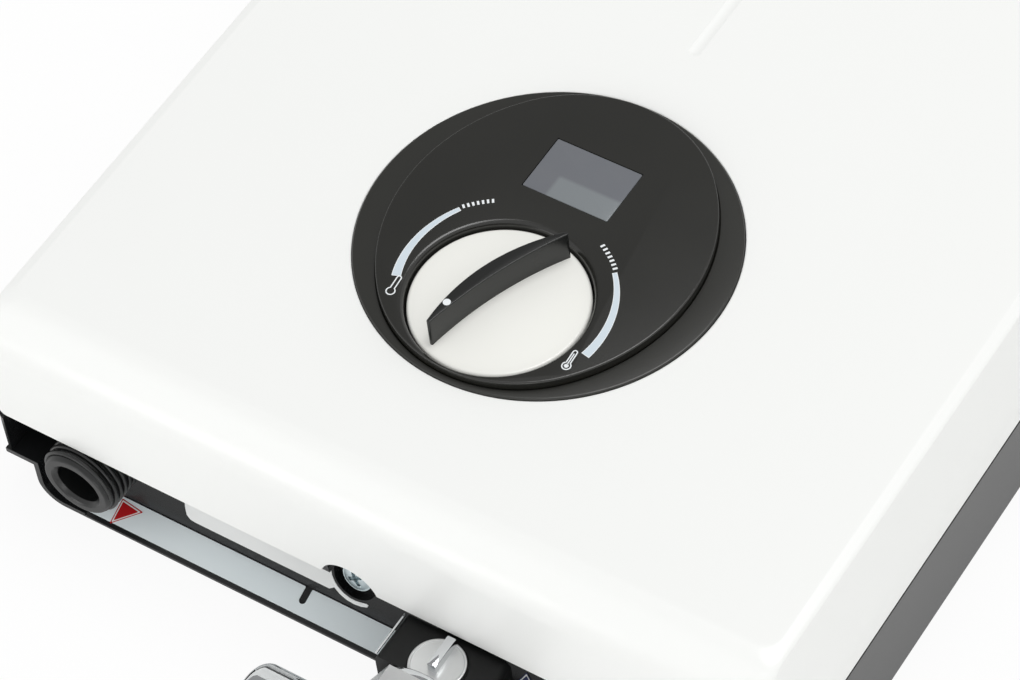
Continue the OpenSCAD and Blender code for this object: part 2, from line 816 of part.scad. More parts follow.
module lcd_module() color("#3d4a44") at_dial()
    translate([display_x - lcd_w / 2, display_y - lcd_l / 2, board_z + board_t])
        cube([lcd_w, lcd_l, bezel_face_z - board_z - board_t - 2 * fit]);

module control_board() color("#2f5d3a") at_dial() difference() {
    translate([-board_w / 2, -board_l / 2, board_z]) cube([board_w, board_l, board_t]);
    for (x = [-1, 1], y = [-1, 1]) translate([x * board_post_x, y * board_post_y, board_z - past])
        cylinder(d = board_screw_d + 4 * fit, h = board_t + 2 * past);
}

module board_screws() color("#c9ccd0") at_dial()
    for (x = [-1, 1], y = [-1, 1]) translate([x * board_post_x, y * board_post_y, board_z]) {
        translate([0, 0, -board_head_t]) cylinder(d = board_head_d, h = board_head_t);
        cylinder(d = board_screw_d, h = board_t + board_screw_bite);
    }

// Knob

module knob_disc() color("#f0f0e8") at_knob() difference() {
    rotate_extrude() intersection() {
        union() {
            translate([0, knob_base_z]) square([knob_r - 1, knob_z + 2 * knob_crown - knob_base_z]);
            translate([0, knob_base_z]) square([knob_r, knob_z - 1 - knob_base_z]);
            translate([knob_r - 1, knob_z - 1]) circle(1);
        }
        translate([0, knob_z + knob_crown - crown_r()]) circle(crown_r(), $fn = 360);
        translate([0, knob_base_z]) square([knob_r, knob_z]);
    }
    difference() {
        translate([0, 0, knob_base_z - past]) cylinder(r = knob_r - cap_t, h = grip_base_z - cap_t - knob_base_z + past);
        cylinder(d = shaft_d + 6, h = casing_d);
    }
    translate([0, 0, knob_base_z - past]) cylinder(d = shaft_d + 2 * run, h = grip_base_z - 1 - knob_base_z + past);
    translate([0, 0, grip_base_z]) linear_extrude(2 * grip_h) grip_plan(run);
}

// Radius of the sphere that crowns the knob's disc
function crown_r() = (knob_r * knob_r + knob_crown * knob_crown) / (2 * knob_crown);

// Radius of an arc over the grip's length with a given rise
function grip_arc_r(rise) = (pow((grip_tail + grip_tip) / 2, 2) + rise * rise) / (2 * rise);

// Plan of the grip: a crescent with a hollow inner side and a fuller outer side
module grip_plan(clear) {
    half = (grip_tail + grip_tip) / 2;
    outer_r = grip_arc_r(grip_bulge);
    inner_r = grip_arc_r(grip_hollow);
    rotate(pointer_angle - 180) translate([half - grip_tail, -grip_set]) difference() {
        intersection() {
            translate([-half - clear, -clear]) square([2 * (half + clear), grip_end_w + grip_bulge + 2 * clear]);
            translate([0, grip_end_w + grip_bulge - outer_r]) circle(outer_r + clear, $fn = 360);
        }
        translate([0, grip_hollow - inner_r]) circle(inner_r - clear, $fn = 360);
    }
}

module knob_grip() color("#262625") at_knob() difference() {
    translate([0, 0, grip_base_z]) linear_extrude(grip_top_z - grip_base_z) grip_plan(0);
    at_marker() cylinder(d = marker_d + 2 * run, h = grip_h);
}

// Floor of the pocket for the white dot
module at_marker() {
    half = (grip_tail + grip_tip) / 2;
    along = (marker_r + half - grip_tail) / half;
    middle = ((grip_bulge + grip_hollow) * (1 - along * along) + grip_end_w) / 2 - grip_set;
    rotate([0, 0, pointer_angle - 180]) translate([-marker_r, middle, grip_top_z - 1]) children();
}

module knob_marker() color("white") at_knob() at_marker() cylinder(d = marker_d, h = 1.1);

module pot_body() color("#3a3a3c") at_knob() difference() {
    translate([-pot_w / 2, -pot_w / 2, board_z + board_t]) cube([pot_w, pot_w, pot_top_z - board_z - board_t]);
    translate([0, 0, board_z + board_t + 1.5]) cylinder(d = shaft_d + 2 * run, h = casing_d);
}

module pot_shaft() color("#d8d4c8") at_knob() translate([0, 0, board_z + board_t + 2])
    cylinder(d = shaft_d, h = grip_base_z - 1.4 - board_z - board_t - 2);

// Hot outlet

module outlet_stub() color("#232424") translate([hot_x, 0, pipe_z]) difference() {
    union() {
        translate([0, stub_face_y, 0]) y_cyl(thread_d, stub_reach);
        translate([0, bottom_y - 1, 0]) y_cyl(thread_d - 1, stub_flange_y - bottom_y + 2);
        translate([0, stub_flange_y, 0]) y_cyl(stub_flange_d, stub_flange_t);
    }
    translate([0, stub_face_y - past, 0]) y_cyl(thread_bore, outlet_start_y - stub_face_y + 2 * past);
    translate([0, stub_face_y - past, 0]) rotate([-90, 0, 0])
        cylinder(d1 = thread_bore + 2, d2 = thread_bore, h = past + 1);
}

// Line of the outlet pipe: up from the stub, across, and up into the block
module outlet_route(d) {
    over_x = outlet_channel_x - hot_x - 2 * pipe_bend_r;
    translate([hot_x, outlet_start_y, pipe_z]) y_cyl(d, outlet_bend_y - outlet_start_y);
    translate([hot_x + pipe_bend_r, outlet_bend_y, pipe_z]) rotate([0, 0, 90])
        rotate_extrude(angle = 90) translate([pipe_bend_r, 0]) circle(d = d);
    translate([hot_x + pipe_bend_r, outlet_bend_y + pipe_bend_r, pipe_z]) x_cyl(d, over_x);
    translate([outlet_channel_x - pipe_bend_r, outlet_bend_y + 2 * pipe_bend_r, pipe_z]) rotate([0, 0, 270])
        rotate_extrude(angle = 90) translate([pipe_bend_r, 0]) circle(d = d);
    translate([outlet_channel_x, outlet_bend_y + 2 * pipe_bend_r, pipe_z])
        y_cyl(d, block_y - outlet_bend_y - 2 * pipe_bend_r);
}

module outlet_pipe() color("#b87333") difference() {
    outlet_route(pipe_d);
    outlet_route(pipe_bore);
}

// Probe that is screwed into a port of the block
module block_sensor(x) {
    translate([x, sensor_port_y, 0]) {
        translate([0, 0, pipe_z + 2]) cylinder(d = sensor_probe_d, h = block_half_t - 2);
        translate([0, 0, block_top_z]) cylinder(d = sensor_head_d, h = sensor_head_t, $fn = 6);
    }
}

module outlet_sensor() color("#c9a54a") block_sensor(outlet_channel_x);

module inlet_sensor() color("#c9a54a") block_sensor(cold_x);

// Cold inlet

module inlet_fitting() color("#232424") translate([cold_x, 0, pipe_z]) difference() {
    union() {
        translate([0, nut_y + fit, 0]) y_cyl(fitting_d, sensor_y - nut_y - fit);
        translate([0, union_y, 0]) y_cyl(thread_d, union_thread_l + 1);
        translate([0, bottom_y + 0.5 - housing_l, 0]) rotate([-90, 0, 0]) linear_extrude(housing_l)
            round_rect(housing_w, fitting_d, housing_edge_r);
    }
    translate([0, union_y - past, 0]) y_cyl(pipe_bore, sensor_y - union_y + 2 * past);
    translate([0, regulator_y, 0]) cylinder(d = regulator_stem_d + 2 * run, h = fitting_d);
    translate([0, regulator_y, regulator_z - pipe_z]) cylinder(d = regulator_d + 8 * fit, h = fitting_d);
}

module regulator_spindle() color("#e3e4e6") translate([cold_x, regulator_y, 0]) {
    translate([0, 0, pipe_z + 1]) cylinder(d = regulator_stem_d, h = regulator_z - pipe_z - 1 + fit);
    translate([0, 0, regulator_z + fit]) cylinder(d = regulator_d, h = regulator_t);
    translate([-bar_w / 2, bar_shift - bar_l / 2, regulator_z + fit + regulator_t]) cube([bar_w, bar_l, bar_h]);
}

module inlet_strainer() color("#cfd2d4") translate([cold_x, sensor_y - strainer_l, pipe_z]) difference() {
    y_cyl(pipe_bore - 2 * fit, strainer_l);
    translate([0, -past, 0]) y_cyl(pipe_bore - 2 * strainer_wall, strainer_l + past - strainer_wall);
}

module union_nut() color("#dcdfe2") translate([cold_x, valve_top_y, pipe_z]) difference() {
    rotate([-90, 0, 0]) intersection() {
        cylinder(d = nut_flats / cos(30), h = nut_l, $fn = 6);
        translate([0, 0, nut_l / 2]) sphere(d = 1.34 * nut_flats);
    }
    translate([0, collar_y - union_collar_t - valve_top_y, 0]) y_cyl(thread_d + 2 * fit, nut_l);
    translate([0, -past, 0]) y_cyl(tail_d() + 2 * fit, nut_l);
}

// Diameter of the valve's tail inside the union nut
function tail_d() = thread_d - 5;

module union_gasket() color("#1f1f1f") translate([cold_x, collar_y, pipe_z]) difference() {
    y_cyl(thread_d, union_gasket_t);
    translate([0, -past, 0]) y_cyl(pipe_bore, union_gasket_t + 2 * past);
}

module valve_body() color("#d6d9dc") translate([cold_x, 0, pipe_z]) difference() {
    union() {
        translate([0, collar_y - union_collar_t, 0]) y_cyl(thread_d, union_collar_t);
        translate([0, valve_top_y - 1, 0]) y_cyl(tail_d(), collar_y - valve_top_y);
        translate([0, valve_bottom_y, 0]) y_cyl(valve_d, valve_l - 2 * fit);
        translate([0, valve_bottom_y - valve_thread_l, 0]) y_cyl(thread_d, valve_thread_l + 1);
        translate([-valve_d / 2 - 2, ball_y, 0]) x_cyl(bonnet_d + 2, valve_d / 2);
    }
    translate([0, valve_bottom_y - valve_thread_l - past, 0]) y_cyl(valve_bore, 2 * valve_l + 2 * valve_thread_l);
    translate([0, valve_bottom_y - valve_thread_l - past, 0]) y_cyl(thread_bore, valve_thread_l + past);
    translate([0, ball_y, 0]) sphere(d = ball_d + 2 * run);
    translate([-valve_d, ball_y, 0]) x_cyl(spindle_d + 2 * run, valve_d);
}

module valve_bonnet() color("#c4c7ca") translate([handle_x, ball_y, pipe_z]) difference() {
    x_cyl(bonnet_d, bonnet_l);
    translate([-past, 0, 0]) x_cyl(spindle_d + 2 * run, bonnet_l + 2 * past);
}

// Round handle, turned about the valve's spindle
module valve_knob() color("#e4e6e8") translate([handle_x - 3 * fit, ball_y, pipe_z]) rotate([0, -90, 0]) difference() {
    rotate_extrude() {
        square([handle_d / 2, handle_l - handle_r]);
        square([handle_d / 2 - handle_r, handle_l]);
        translate([handle_d / 2 - handle_r, handle_l - handle_r]) intersection() {
            circle(handle_r);
            square(handle_r);
        }
    }
    translate([0, 0, -past]) cylinder(d = spindle_d + 2 * run, h = handle_l / 2 + past);
}

module valve_spindle() color("#b8a05a") translate([handle_x - handle_l / 2 + 1, ball_y, pipe_z])
    x_cyl(spindle_d, cold_x - ball_d / 2 + ball_socket - 2 * fit - handle_x + handle_l / 2 - 1);

module valve_ball() color("#c9ccd0") translate([cold_x, ball_y, pipe_z]) difference() {
    rotate([90, 0, 0]) rotate_extrude() difference() {
        circle(d = ball_d);
        translate([-ball_d, -ball_d]) square([ball_d + ball_bore / 2, 2 * ball_d]);
    }
    translate([-ball_d, 0, 0]) x_cyl(spindle_d + 2 * run, ball_d - ball_d / 2 + ball_socket);
}

// Flow sensor

module flow_sensor() color("#e8e8e4") translate([cold_x, sensor_y, pipe_z]) difference() {
    y_cyl(sensor_d, sensor_l);
    translate([0, -past, 0]) y_cyl(pipe_bore, sensor_l + 2 * past);
    difference() {
        translate([0, (sensor_l - turbine_l) / 2 - spider_t, 0]) y_cyl(turbine_d + 1, turbine_l + 2 * spider_t);
        for (y = [-spider_t, turbine_l]) translate([0, (sensor_l - turbine_l) / 2 + y, 0])
            for (a = [0, 90]) rotate([0, a, 0]) translate([-sensor_d / 2, 0, -1.5]) cube([sensor_d, spider_t, 3]);
    }
    translate([0, (sensor_l - turbine_l) / 2 - spider_t - past, 0])
        y_cyl(axle_d + 2 * run, turbine_l + 2 * spider_t + 2 * past);
}

module flow_turbine() color("#2f6fb0") translate([cold_x, sensor_y + (sensor_l - turbine_l) / 2, pipe_z]) {
    translate([0, -spider_t, 0]) y_cyl(axle_d, turbine_l + 2 * spider_t);
    translate([0, 1, 0]) y_cyl(axle_d + 4, turbine_l - 2);
    intersection() {
        translate([0, 2, 0]) y_cyl(turbine_d, turbine_l - 4);
        for (a = [0 : 45 : 135]) rotate([0, a, 0]) translate([-turbine_d, 0, -0.6]) cube([2 * turbine_d, turbine_l, 1.2]);
    }
}

module inlet_pipe() color("#b87333") translate([cold_x, sensor_y + sensor_l, pipe_z]) difference() {
    y_cyl(pipe_d, block_y - sensor_y - sensor_l);
    translate([0, -past, 0]) y_cyl(pipe_bore, block_y - sensor_y - sensor_l + 2 * past);
}

module heat_sink() color("#b4b7ba") difference() {
    translate([cold_x - sink_w / 2, sink_y, pipe_z - sink_below]) cube([sink_w, sink_l, sink_above + sink_below]);
    translate([cold_x, sink_y - past, pipe_z]) y_cyl(pipe_d + 2 * fit, sink_l + 2 * past);
}

module triacs() color("#1c1c1e") for (i = [0 : 2])
    translate([cold_x - triac_l / 2, sink_y + (i + 0.5) * sink_l / 3 - triac_w / 2, sink_top_z]) {
        cube([triac_l, triac_w, triac_tab]);
        translate([0, 0, triac_tab]) cube([0.6 * triac_l, triac_w, 2 * triac_tab]);
    }

// Heating block

// Water space of the block, cut from both halves
module water_space() {
    for (i = [0 : 2]) translate([cold_x - i * channel_pitch, channel_y, pipe_z]) y_cyl(channel_d, channel_l);
    for (x = [cold_x, outlet_channel_x]) translate([x, block_y - past, pipe_z]) y_cyl(pipe_bore, block_wall + 2 * past);
    translate([cold_x - channel_pitch, channel_y + channel_l - turn_inset - turn_w, pipe_z - turn_w / 2])
        cube([channel_pitch, turn_w, turn_w]);
    translate([outlet_channel_x, channel_y + turn_inset, pipe_z - turn_w / 2]) cube([channel_pitch, turn_w, turn_w]);
}

// Plain slab of the block between two levels, with its screw holes
module block_slab(low, high) {
    difference() {
        translate([block_x, block_y + block_l / 2, low]) linear_extrude(high - low) round_rect(block_w, block_l, 6);
        water_space();
        for (x = [-1, 1], y = block_screw_y) translate([block_x + x * block_screw_x, y, low - past])
            cylinder(d = block_screw_d + 4 * fit, h = high - low + 2 * past);
    }
}

module heater_base() color("#d9d5c9") block_slab(block_base_z, seal_low_z);

module heater_cover() color("#d9d5c9") difference() {
    block_slab(seal_high_z, block_top_z);
    for (x = [cold_x, outlet_channel_x]) translate([x, sensor_port_y, pipe_z])
        cylinder(d = sensor_probe_d + 2 * fit, h = block_top_z);
    for (i = [0 : 2], e = [0, 1]) at_stud(i, e) cylinder(d = stud_d + 2 * fit, h = block_top_z);
}

module heater_seal() color("#3a2a24") block_slab(seal_low_z, seal_high_z);

// Two connection studs on each channel
module at_stud(i, e) {
    translate([cold_x - i * channel_pitch, channel_y + stud_inset + e * (channel_l - 2 * stud_inset), pipe_z])
        children();
}

module heating_coils() color("#9a9da0") for (i = [0 : 2])
    translate([cold_x - i * channel_pitch, channel_y + coil_inset, pipe_z]) difference() {
        y_cyl(channel_d - 6 * fit, channel_l - 2 * coil_inset);
        translate([0, -past, 0]) y_cyl(channel_d - 2 * coil_depth, channel_l);
    }

module element_studs() color("#c9a54a") for (i = [0 : 2], e = [0, 1]) at_stud(i, e) {
    translate([0, 0, channel_d / 2 + 2 * fit]) cylinder(d = stud_d, h = stud_top_z - pipe_z - channel_d / 2 - 2 * fit);
    translate([0, 0, block_half_t]) cylinder(d = stud_nut_d, h = stud_nut_t, $fn = 6);
}

module block_screws() color("#c9ccd0")
    for (x = [-1, 1], y = block_screw_y) translate([block_x + x * block_screw_x, y, 0]) {
        translate([0, 0, block_top_z]) cylinder(d = 2 * block_screw_d, h = screw_head_t);
        translate([0, 0, plate_t + 0.5]) cylinder(d = block_screw_d, h = block_top_z - plate_t);
    }

module thermal_cutout() color("#33302b") translate([block_x, cutout_y, block_top_z]) difference() {
    cylinder(d = cutout_d, h = cutout_h);
    translate([0, 0, 1.5]) cylinder(d = button_d + 2 * run, h = cutout_h);
}

module reset_button() color("#c8141a") translate([block_x, cutout_y, block_top_z + 1.5 + button_travel + 0.3])
    cylinder(d = button_d, h = cutout_h);

// Electrics

module power_board() color("#2f5d3a") translate([power_x, power_y, power_z]) {
    difference() {
        translate([-power_w / 2, -power_l / 2, 0]) cube([power_w, power_l, board_t]);
        for (x = [-1, 1], y = [-1, 1]) translate([x * power_hole_x, y * power_hole_y, -past])
            cylinder(d = board_screw_d + 4 * fit, h = board_t + 2 * past);
    }
    for (i = [0 : 2]) translate([-relay_w / 2, (i + 0.5) * relay_pitch, board_t]) cube([relay_w, relay_l, relay_h]);
    for (x = [-1, 1]) translate([x * capacitor_x, -capacitor_y, board_t]) cylinder(d = capacitor_d, h = capacitor_h);
}

module power_board_screws() color("#c9ccd0")
    for (x = [-1, 1], y = [-1, 1]) translate([power_x + x * power_hole_x, power_y + y * power_hole_y, power_z]) {
        translate([0, 0, board_t]) cylinder(d = board_head_d, h = board_head_t);
        translate([0, 0, -power_rise + 1]) cylinder(d = board_screw_d, h = power_rise - 1 + board_t);
    }

module terminal_block() color("#e4e0d4") translate([power_x, terminal_y, plate_t]) difference() {
    translate([-terminal_w / 2, -terminal_l / 2, 0]) cube([terminal_w, terminal_l, terminal_h]);
    for (i = [0 : 2]) translate([(i - 1) * terminal_pitch, 0, 0]) {
        translate([0, -terminal_l, terminal_wire_z]) y_cyl(terminal_wire_d, 2 * terminal_l);
        for (y = [-1, 1]) translate([0, y * terminal_row, terminal_wire_z])
            cylinder(d = terminal_screw_d + 2 * fit, h = terminal_h);
    }
}

module terminal_screws() color("#c9a54a") translate([power_x, terminal_y, plate_t])
    for (i = [0 : 2], y = [-1, 1])
        translate([(i - 1) * terminal_pitch, y * terminal_row, terminal_wire_z + 0.2 * terminal_wire_d]) difference() {
            cylinder(d = terminal_screw_d, h = terminal_screw_l);
            translate([-terminal_screw_d, -0.5, terminal_screw_l - 1]) cube([2 * terminal_screw_d, 1, 2]);
        }

module cable_grommet() color("#1d1d1d") translate([power_x, grommet_y, 0]) difference() {
    union() {
        cylinder(d = grommet_d, h = plate_t + 2);
        translate([0, 0, plate_t]) cylinder(d = grommet_d + 2 * grommet_flange, h = 2);
    }
    translate([0, 0, -past]) cylinder(d = cable_d, h = plate_t + 2 + 2 * past);
}

// Flat cable from the control board down to the power board
module ribbon_cable() color("#8d9094") translate([0, ribbon_y, 0]) {
    start_x = board_w / 2 - plug_inset;
    end_x = power_x;
    drop_z = board_z - plug_h;
    run_z = drop_z + ribbon_margin;
    land_z = power_z + board_t;
    run_w = ribbon_w - 2 * ribbon_margin;
    translate([start_x - plug_l / 2, 0, drop_z]) cube([plug_l, ribbon_w, plug_h]);
    translate([start_x, ribbon_margin, run_z]) cube([end_x - start_x + ribbon_t, run_w, ribbon_t]);
    translate([end_x, ribbon_margin, land_z + plug_h])
        cube([ribbon_t, run_w, run_z - land_z - plug_h + ribbon_t]);
    translate([end_x - plug_l / 2, 0, land_z]) cube([plug_l, ribbon_w, plug_h]);
}

back_panel();
hood();
casing_seal();
hood_screw();
wall_bracket();
bracket_nut();
dial_bezel();
fascia_plate();
display_window();
lcd_module();
control_board();
board_screws();
knob_disc();
knob_grip();
knob_marker();
pot_body();
pot_shaft();
outlet_stub();
outlet_pipe();
outlet_sensor();
inlet_fitting();
regulator_spindle();
inlet_strainer();
union_nut();
union_gasket();
valve_body();
valve_bonnet();
valve_knob();
valve_spindle();
valve_ball();
flow_sensor();
flow_turbine();
inlet_pipe();
heat_sink();
triacs();
inlet_sensor();
heater_base();
heater_cover();
heater_seal();
heating_coils();
element_studs();
block_screws();
thermal_cutout();
reset_button();
power_board();
power_board_screws();
terminal_block();
terminal_screws();
cable_grommet();
ribbon_cable();
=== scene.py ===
"""Looks of a wall-hung tankless electric water heater that lies on its back.

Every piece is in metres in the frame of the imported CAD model: +X right and +Y up as seen on the wall,
+Z out of the front, with the wall plane at Z = 0. Sizes in this file are in millimetres and are scaled
when a mesh is made.
"""

from __future__ import annotations

import json
import logging
import math
from collections.abc import Callable, Iterable, Sequence
from dataclasses import dataclass, field
from enum import Enum
from typing import Any

import bmesh
import bpy
from mathutils import Matrix, Vector

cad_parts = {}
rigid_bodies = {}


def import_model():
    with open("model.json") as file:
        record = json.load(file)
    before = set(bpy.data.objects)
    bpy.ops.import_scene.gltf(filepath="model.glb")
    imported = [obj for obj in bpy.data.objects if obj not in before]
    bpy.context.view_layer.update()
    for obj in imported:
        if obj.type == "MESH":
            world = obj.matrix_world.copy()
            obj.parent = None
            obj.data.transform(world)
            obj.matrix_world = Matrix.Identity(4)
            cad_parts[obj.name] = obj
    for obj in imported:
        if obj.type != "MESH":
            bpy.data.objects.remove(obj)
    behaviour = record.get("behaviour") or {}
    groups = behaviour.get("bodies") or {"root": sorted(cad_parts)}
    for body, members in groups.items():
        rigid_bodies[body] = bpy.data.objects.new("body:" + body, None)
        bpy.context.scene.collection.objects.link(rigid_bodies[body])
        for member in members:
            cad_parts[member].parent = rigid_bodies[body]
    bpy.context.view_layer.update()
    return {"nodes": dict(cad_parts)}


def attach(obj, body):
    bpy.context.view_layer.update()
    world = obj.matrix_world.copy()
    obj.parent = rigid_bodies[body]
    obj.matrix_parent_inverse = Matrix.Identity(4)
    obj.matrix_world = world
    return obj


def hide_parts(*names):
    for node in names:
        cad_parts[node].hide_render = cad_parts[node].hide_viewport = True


MM = 0.001
LOG = logging.getLogger("heater")
Point = tuple[float, float]
Corner = tuple[float, float, float]
Placement = Callable[[float, float, float], Vector]
Mesh = bpy.types.Mesh
Tree = bpy.types.NodeTree
Socket = bpy.types.NodeSocket


class Body(Enum):
    """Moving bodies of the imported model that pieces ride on."""

    CASING = "casing"
    KNOB = "knob"
    REGULATOR = "regulator"
    STOP_VALVE = "stop_valve"


class Axis(Enum):
    """Row axis that a turned piece turns about."""

    Y = 1
    Z = 2

    def place(self, radius: float, angle: float, along: float) -> Vector:
        """Put a point of a turned profile into the row frame.

        Args:
            radius: Distance from the axis.
            angle: Turn about the axis, in radians.
            along: Distance along the axis.

        Returns:
            The point, in the units of its distances.
        """
        across, up = radius * math.cos(angle), radius * math.sin(angle)
        return Vector((up, along, across) if self is Axis.Y else (across, up, along))


def linear(code: str) -> tuple[float, float, float, float]:
    """Turn an sRGB hex colour into linear values.

    Args:
        code: Colour such as "#f4f4f2".

    Returns:
        Red, green, blue and an alpha of 1.
    """
    parts = [int(code[i : i + 2], 16) / 255 for i in (1, 3, 5)]
    r, g, b = (c / 12.92 if c <= 0.04045 else ((c + 0.055) / 1.055) ** 2.4 for c in parts)
    return r, g, b, 1.0


def add_node(tree: Tree, kind: str, inputs: dict[Any, Any] | None = None, **settings: Any) -> Any:
    """Add a node with its settings, values and links.

    Args:
        tree: Node tree that gets the node.
        kind: Blender's name of the node's type.
        inputs: Socket name or number to a value, or to the output socket that feeds it.
        settings: Attributes of the node.

    Returns:
        The new node.
    """
    made = tree.nodes.new(kind)
    for key, value in settings.items():
        setattr(made, key, value)
    for key, value in (inputs or {}).items():
        if isinstance(value, bpy.types.NodeSocket):
            tree.links.new(value, made.inputs[key])
        else:
            made.inputs[key].default_value = value
    return made


class Grain(Enum):
    """How a surface was made, which sets the run of its fine pattern."""

    MOULDED = (1.0, 1.0, 1.0)
    DRAWN_X = (0.03, 1.0, 1.0)
    DRAWN_Y = (1.0, 0.03, 1.0)
    TURNED_Y = (1.0, 14.0, 1.0)


@dataclass(frozen=True)
class Finish:
    """One real material with its surface.

    Attributes:
        name: Common name and making of the material.
        colour: Main colour, sRGB hex.
        shade: Second colour of the faint variation, sRGB hex.
        roughness: Mean roughness of the gloss.
        spread: How far the roughness wanders to each side.
        grain_mm: Size of the fine surface pattern.
        relief_mm: Height of the fine surface pattern.
        cloud_mm: Size of the slow variation of colour and gloss.
        metallic: 1 for a metal.
        ior: Index of refraction of a plastic.
        grain: How the surface was made.
    """

    name: str
    colour: str
    shade: str
    roughness: float
    spread: float
    grain_mm: float
    relief_mm: float
    cloud_mm: float
    metallic: float = 0.0
    ior: float = 1.5
    grain: Grain = Grain.MOULDED

    def material(self) -> bpy.types.Material:
        """Make the material on its first use.

        Returns:
            The material.
        """
        known = bpy.data.materials.get(self.name)
        if known:
            return known
        made = bpy.data.materials.new(self.name)
        made.use_nodes = True
        made.node_tree.nodes.clear()
        self.dress(made.node_tree)
        return made

    def dress(self, tree: Tree) -> None:
        """Fill the material's tree: clouded colour and gloss over a fine relief.

        Args:
            tree: Empty tree of the material.
        """
        where = add_node(tree, "ShaderNodeTexCoord").outputs["Object"]
        cloud = self.pattern(tree, where, self.cloud_mm, Grain.MOULDED)
        low, high = max(self.roughness - self.spread, 0.0), min(self.roughness + self.spread, 1.0)
        gloss = add_node(tree, "ShaderNodeMapRange", {0: cloud, 3: low, 4: high})
        relief = self.pattern(tree, where, self.grain_mm, self.grain)
        depth = {"Strength": 1.0, "Distance": self.relief_mm * MM, "Height": relief}
        bump = add_node(tree, "ShaderNodeBump", depth)
        surface = {
            "Base Color": self.base_colour(tree, where, cloud),
            "Roughness": gloss.outputs[0],
            "Metallic": self.metallic,
            "Normal": bump.outputs[0],
        }
        if not self.metallic:
            surface["IOR"] = self.ior
        shader = add_node(tree, "ShaderNodeBsdfPrincipled", surface)
        add_node(tree, "ShaderNodeOutputMaterial", {"Surface": shader.outputs[0]})

    def pattern(self, tree: Tree, where: Socket, size_mm: float, run: Grain) -> Socket:
        """Add a noise of a real size.

        Args:
            tree: The material's tree.
            where: Object coordinates.
            size_mm: Size of one patch of the noise.
            run: Stretch of the noise.

        Returns:
            The socket of the noise's value.
        """
        placed = add_node(tree, "ShaderNodeMapping", {"Vector": where, "Scale": run.value})
        inputs = {"Vector": placed.outputs[0], "Scale": 1 / (size_mm * MM), "Detail": 3.0}
        return add_node(tree, "ShaderNodeTexNoise", inputs).outputs[0]

    def base_colour(self, tree: Tree, where: Socket, cloud: Socket) -> Socket:
        """Mix the two colours by the slow variation.

        Args:
            tree: The material's tree.
            where: Object coordinates, for finishes with a drawn pattern.
            cloud: Value of the slow variation.

        Returns:
            The socket of the colour.
        """
        colours = {"Factor": cloud, "A": linear(self.colour), "B": linear(self.shade)}
        return add_node(tree, "ShaderNodeMix", colours, data_type="RGBA").outputs["Result"]


@dataclass(frozen=True)
class DisplayFinish(Finish):
    """Smoked acrylic over a switched-off display, with the paler field of the panel behind it.

    Attributes:
        field_colour: Colour of the paler field.
        field_left_mm: Left edge of the field in the row frame.
        field_top_mm: Upper edge of the field in the row frame.
        blur_mm: Width of the soft edge.
    """

    field_colour: str = "#7e8386"
    field_left_mm: float = -6.7
    field_top_mm: float = -86.6
    blur_mm: float = 0.5

    def base_colour(self, tree: Tree, where: Socket, cloud: Socket) -> Socket:
        """Lay the paler field over the clouded grey.

        Args:
            tree: The material's tree.
            where: Object coordinates.
            cloud: Value of the slow variation.

        Returns:
            The socket of the colour.
        """
        grey = super().base_colour(tree, where, cloud)
        split = add_node(tree, "ShaderNodeSeparateXYZ", {0: where})
        left, top, blur = self.field_left_mm, self.field_top_mm, self.blur_mm
        within = []
        for way, start, end in (("X", left - blur, left + blur), ("Y", top + blur, top - blur)):
            span = {0: split.outputs[way], 1: start * MM, 2: end * MM}
            within.append(add_node(tree, "ShaderNodeMapRange", span).outputs[0])
        both = add_node(tree, "ShaderNodeMath", {0: within[0], 1: within[1]}, operation="MULTIPLY")
        colours = {"Factor": both.outputs[0], "A": grey, "B": linear(self.field_colour)}
        return add_node(tree, "ShaderNodeMix", colours, data_type="RGBA").outputs["Result"]


@dataclass(frozen=True)
class BoardFinish(Finish):
    """Solder mask over a glass-fibre board, with paler tracks showing through.

    Attributes:
        track_colour: Colour over the copper tracks.
        track_mm: Spacing of the tracks.
        track_share: Width of the tracks as a share of their spacing.
        parts_mm: Height above which the piece is the board's parts.
        parts_colour: Colour of the parts' cases.
    """

    track_colour: str = "#3f7a4c"
    track_mm: float = 4.0
    track_share: float = 0.08
    parts_mm: float = 100.0
    parts_colour: str = "#232427"

    def base_colour(self, tree: Tree, where: Socket, cloud: Socket) -> Socket:
        """Draw the tracks and the parts over the clouded green.

        Args:
            tree: The material's tree.
            where: Object coordinates.
            cloud: Value of the slow variation.

        Returns:
            The socket of the colour.
        """
        bare, line = linear("#000000"), linear("#ffffff")
        spacing = {"Vector": where, "Scale": 1 / (self.track_mm * MM), "Mortar Size": self.track_share}
        codes = {"Color1": bare, "Color2": bare, "Mortar": line}
        tracks = add_node(tree, "ShaderNodeTexBrick", {**spacing, **codes})
        height = add_node(tree, "ShaderNodeSeparateXYZ", {0: where}).outputs["Z"]
        limit = {0: height, 1: self.parts_mm * MM}
        parts = add_node(tree, "ShaderNodeMath", limit, operation="GREATER_THAN")
        colour = super().base_colour(tree, where, cloud)
        for share, code in (
            (tracks.outputs["Color"], self.track_colour),
            (parts.outputs[0], self.parts_colour),
        ):
            layer = {"Factor": share, "A": colour, "B": linear(code)}
            colour = add_node(tree, "ShaderNodeMix", layer, data_type="RGBA").outputs["Result"]
        return colour


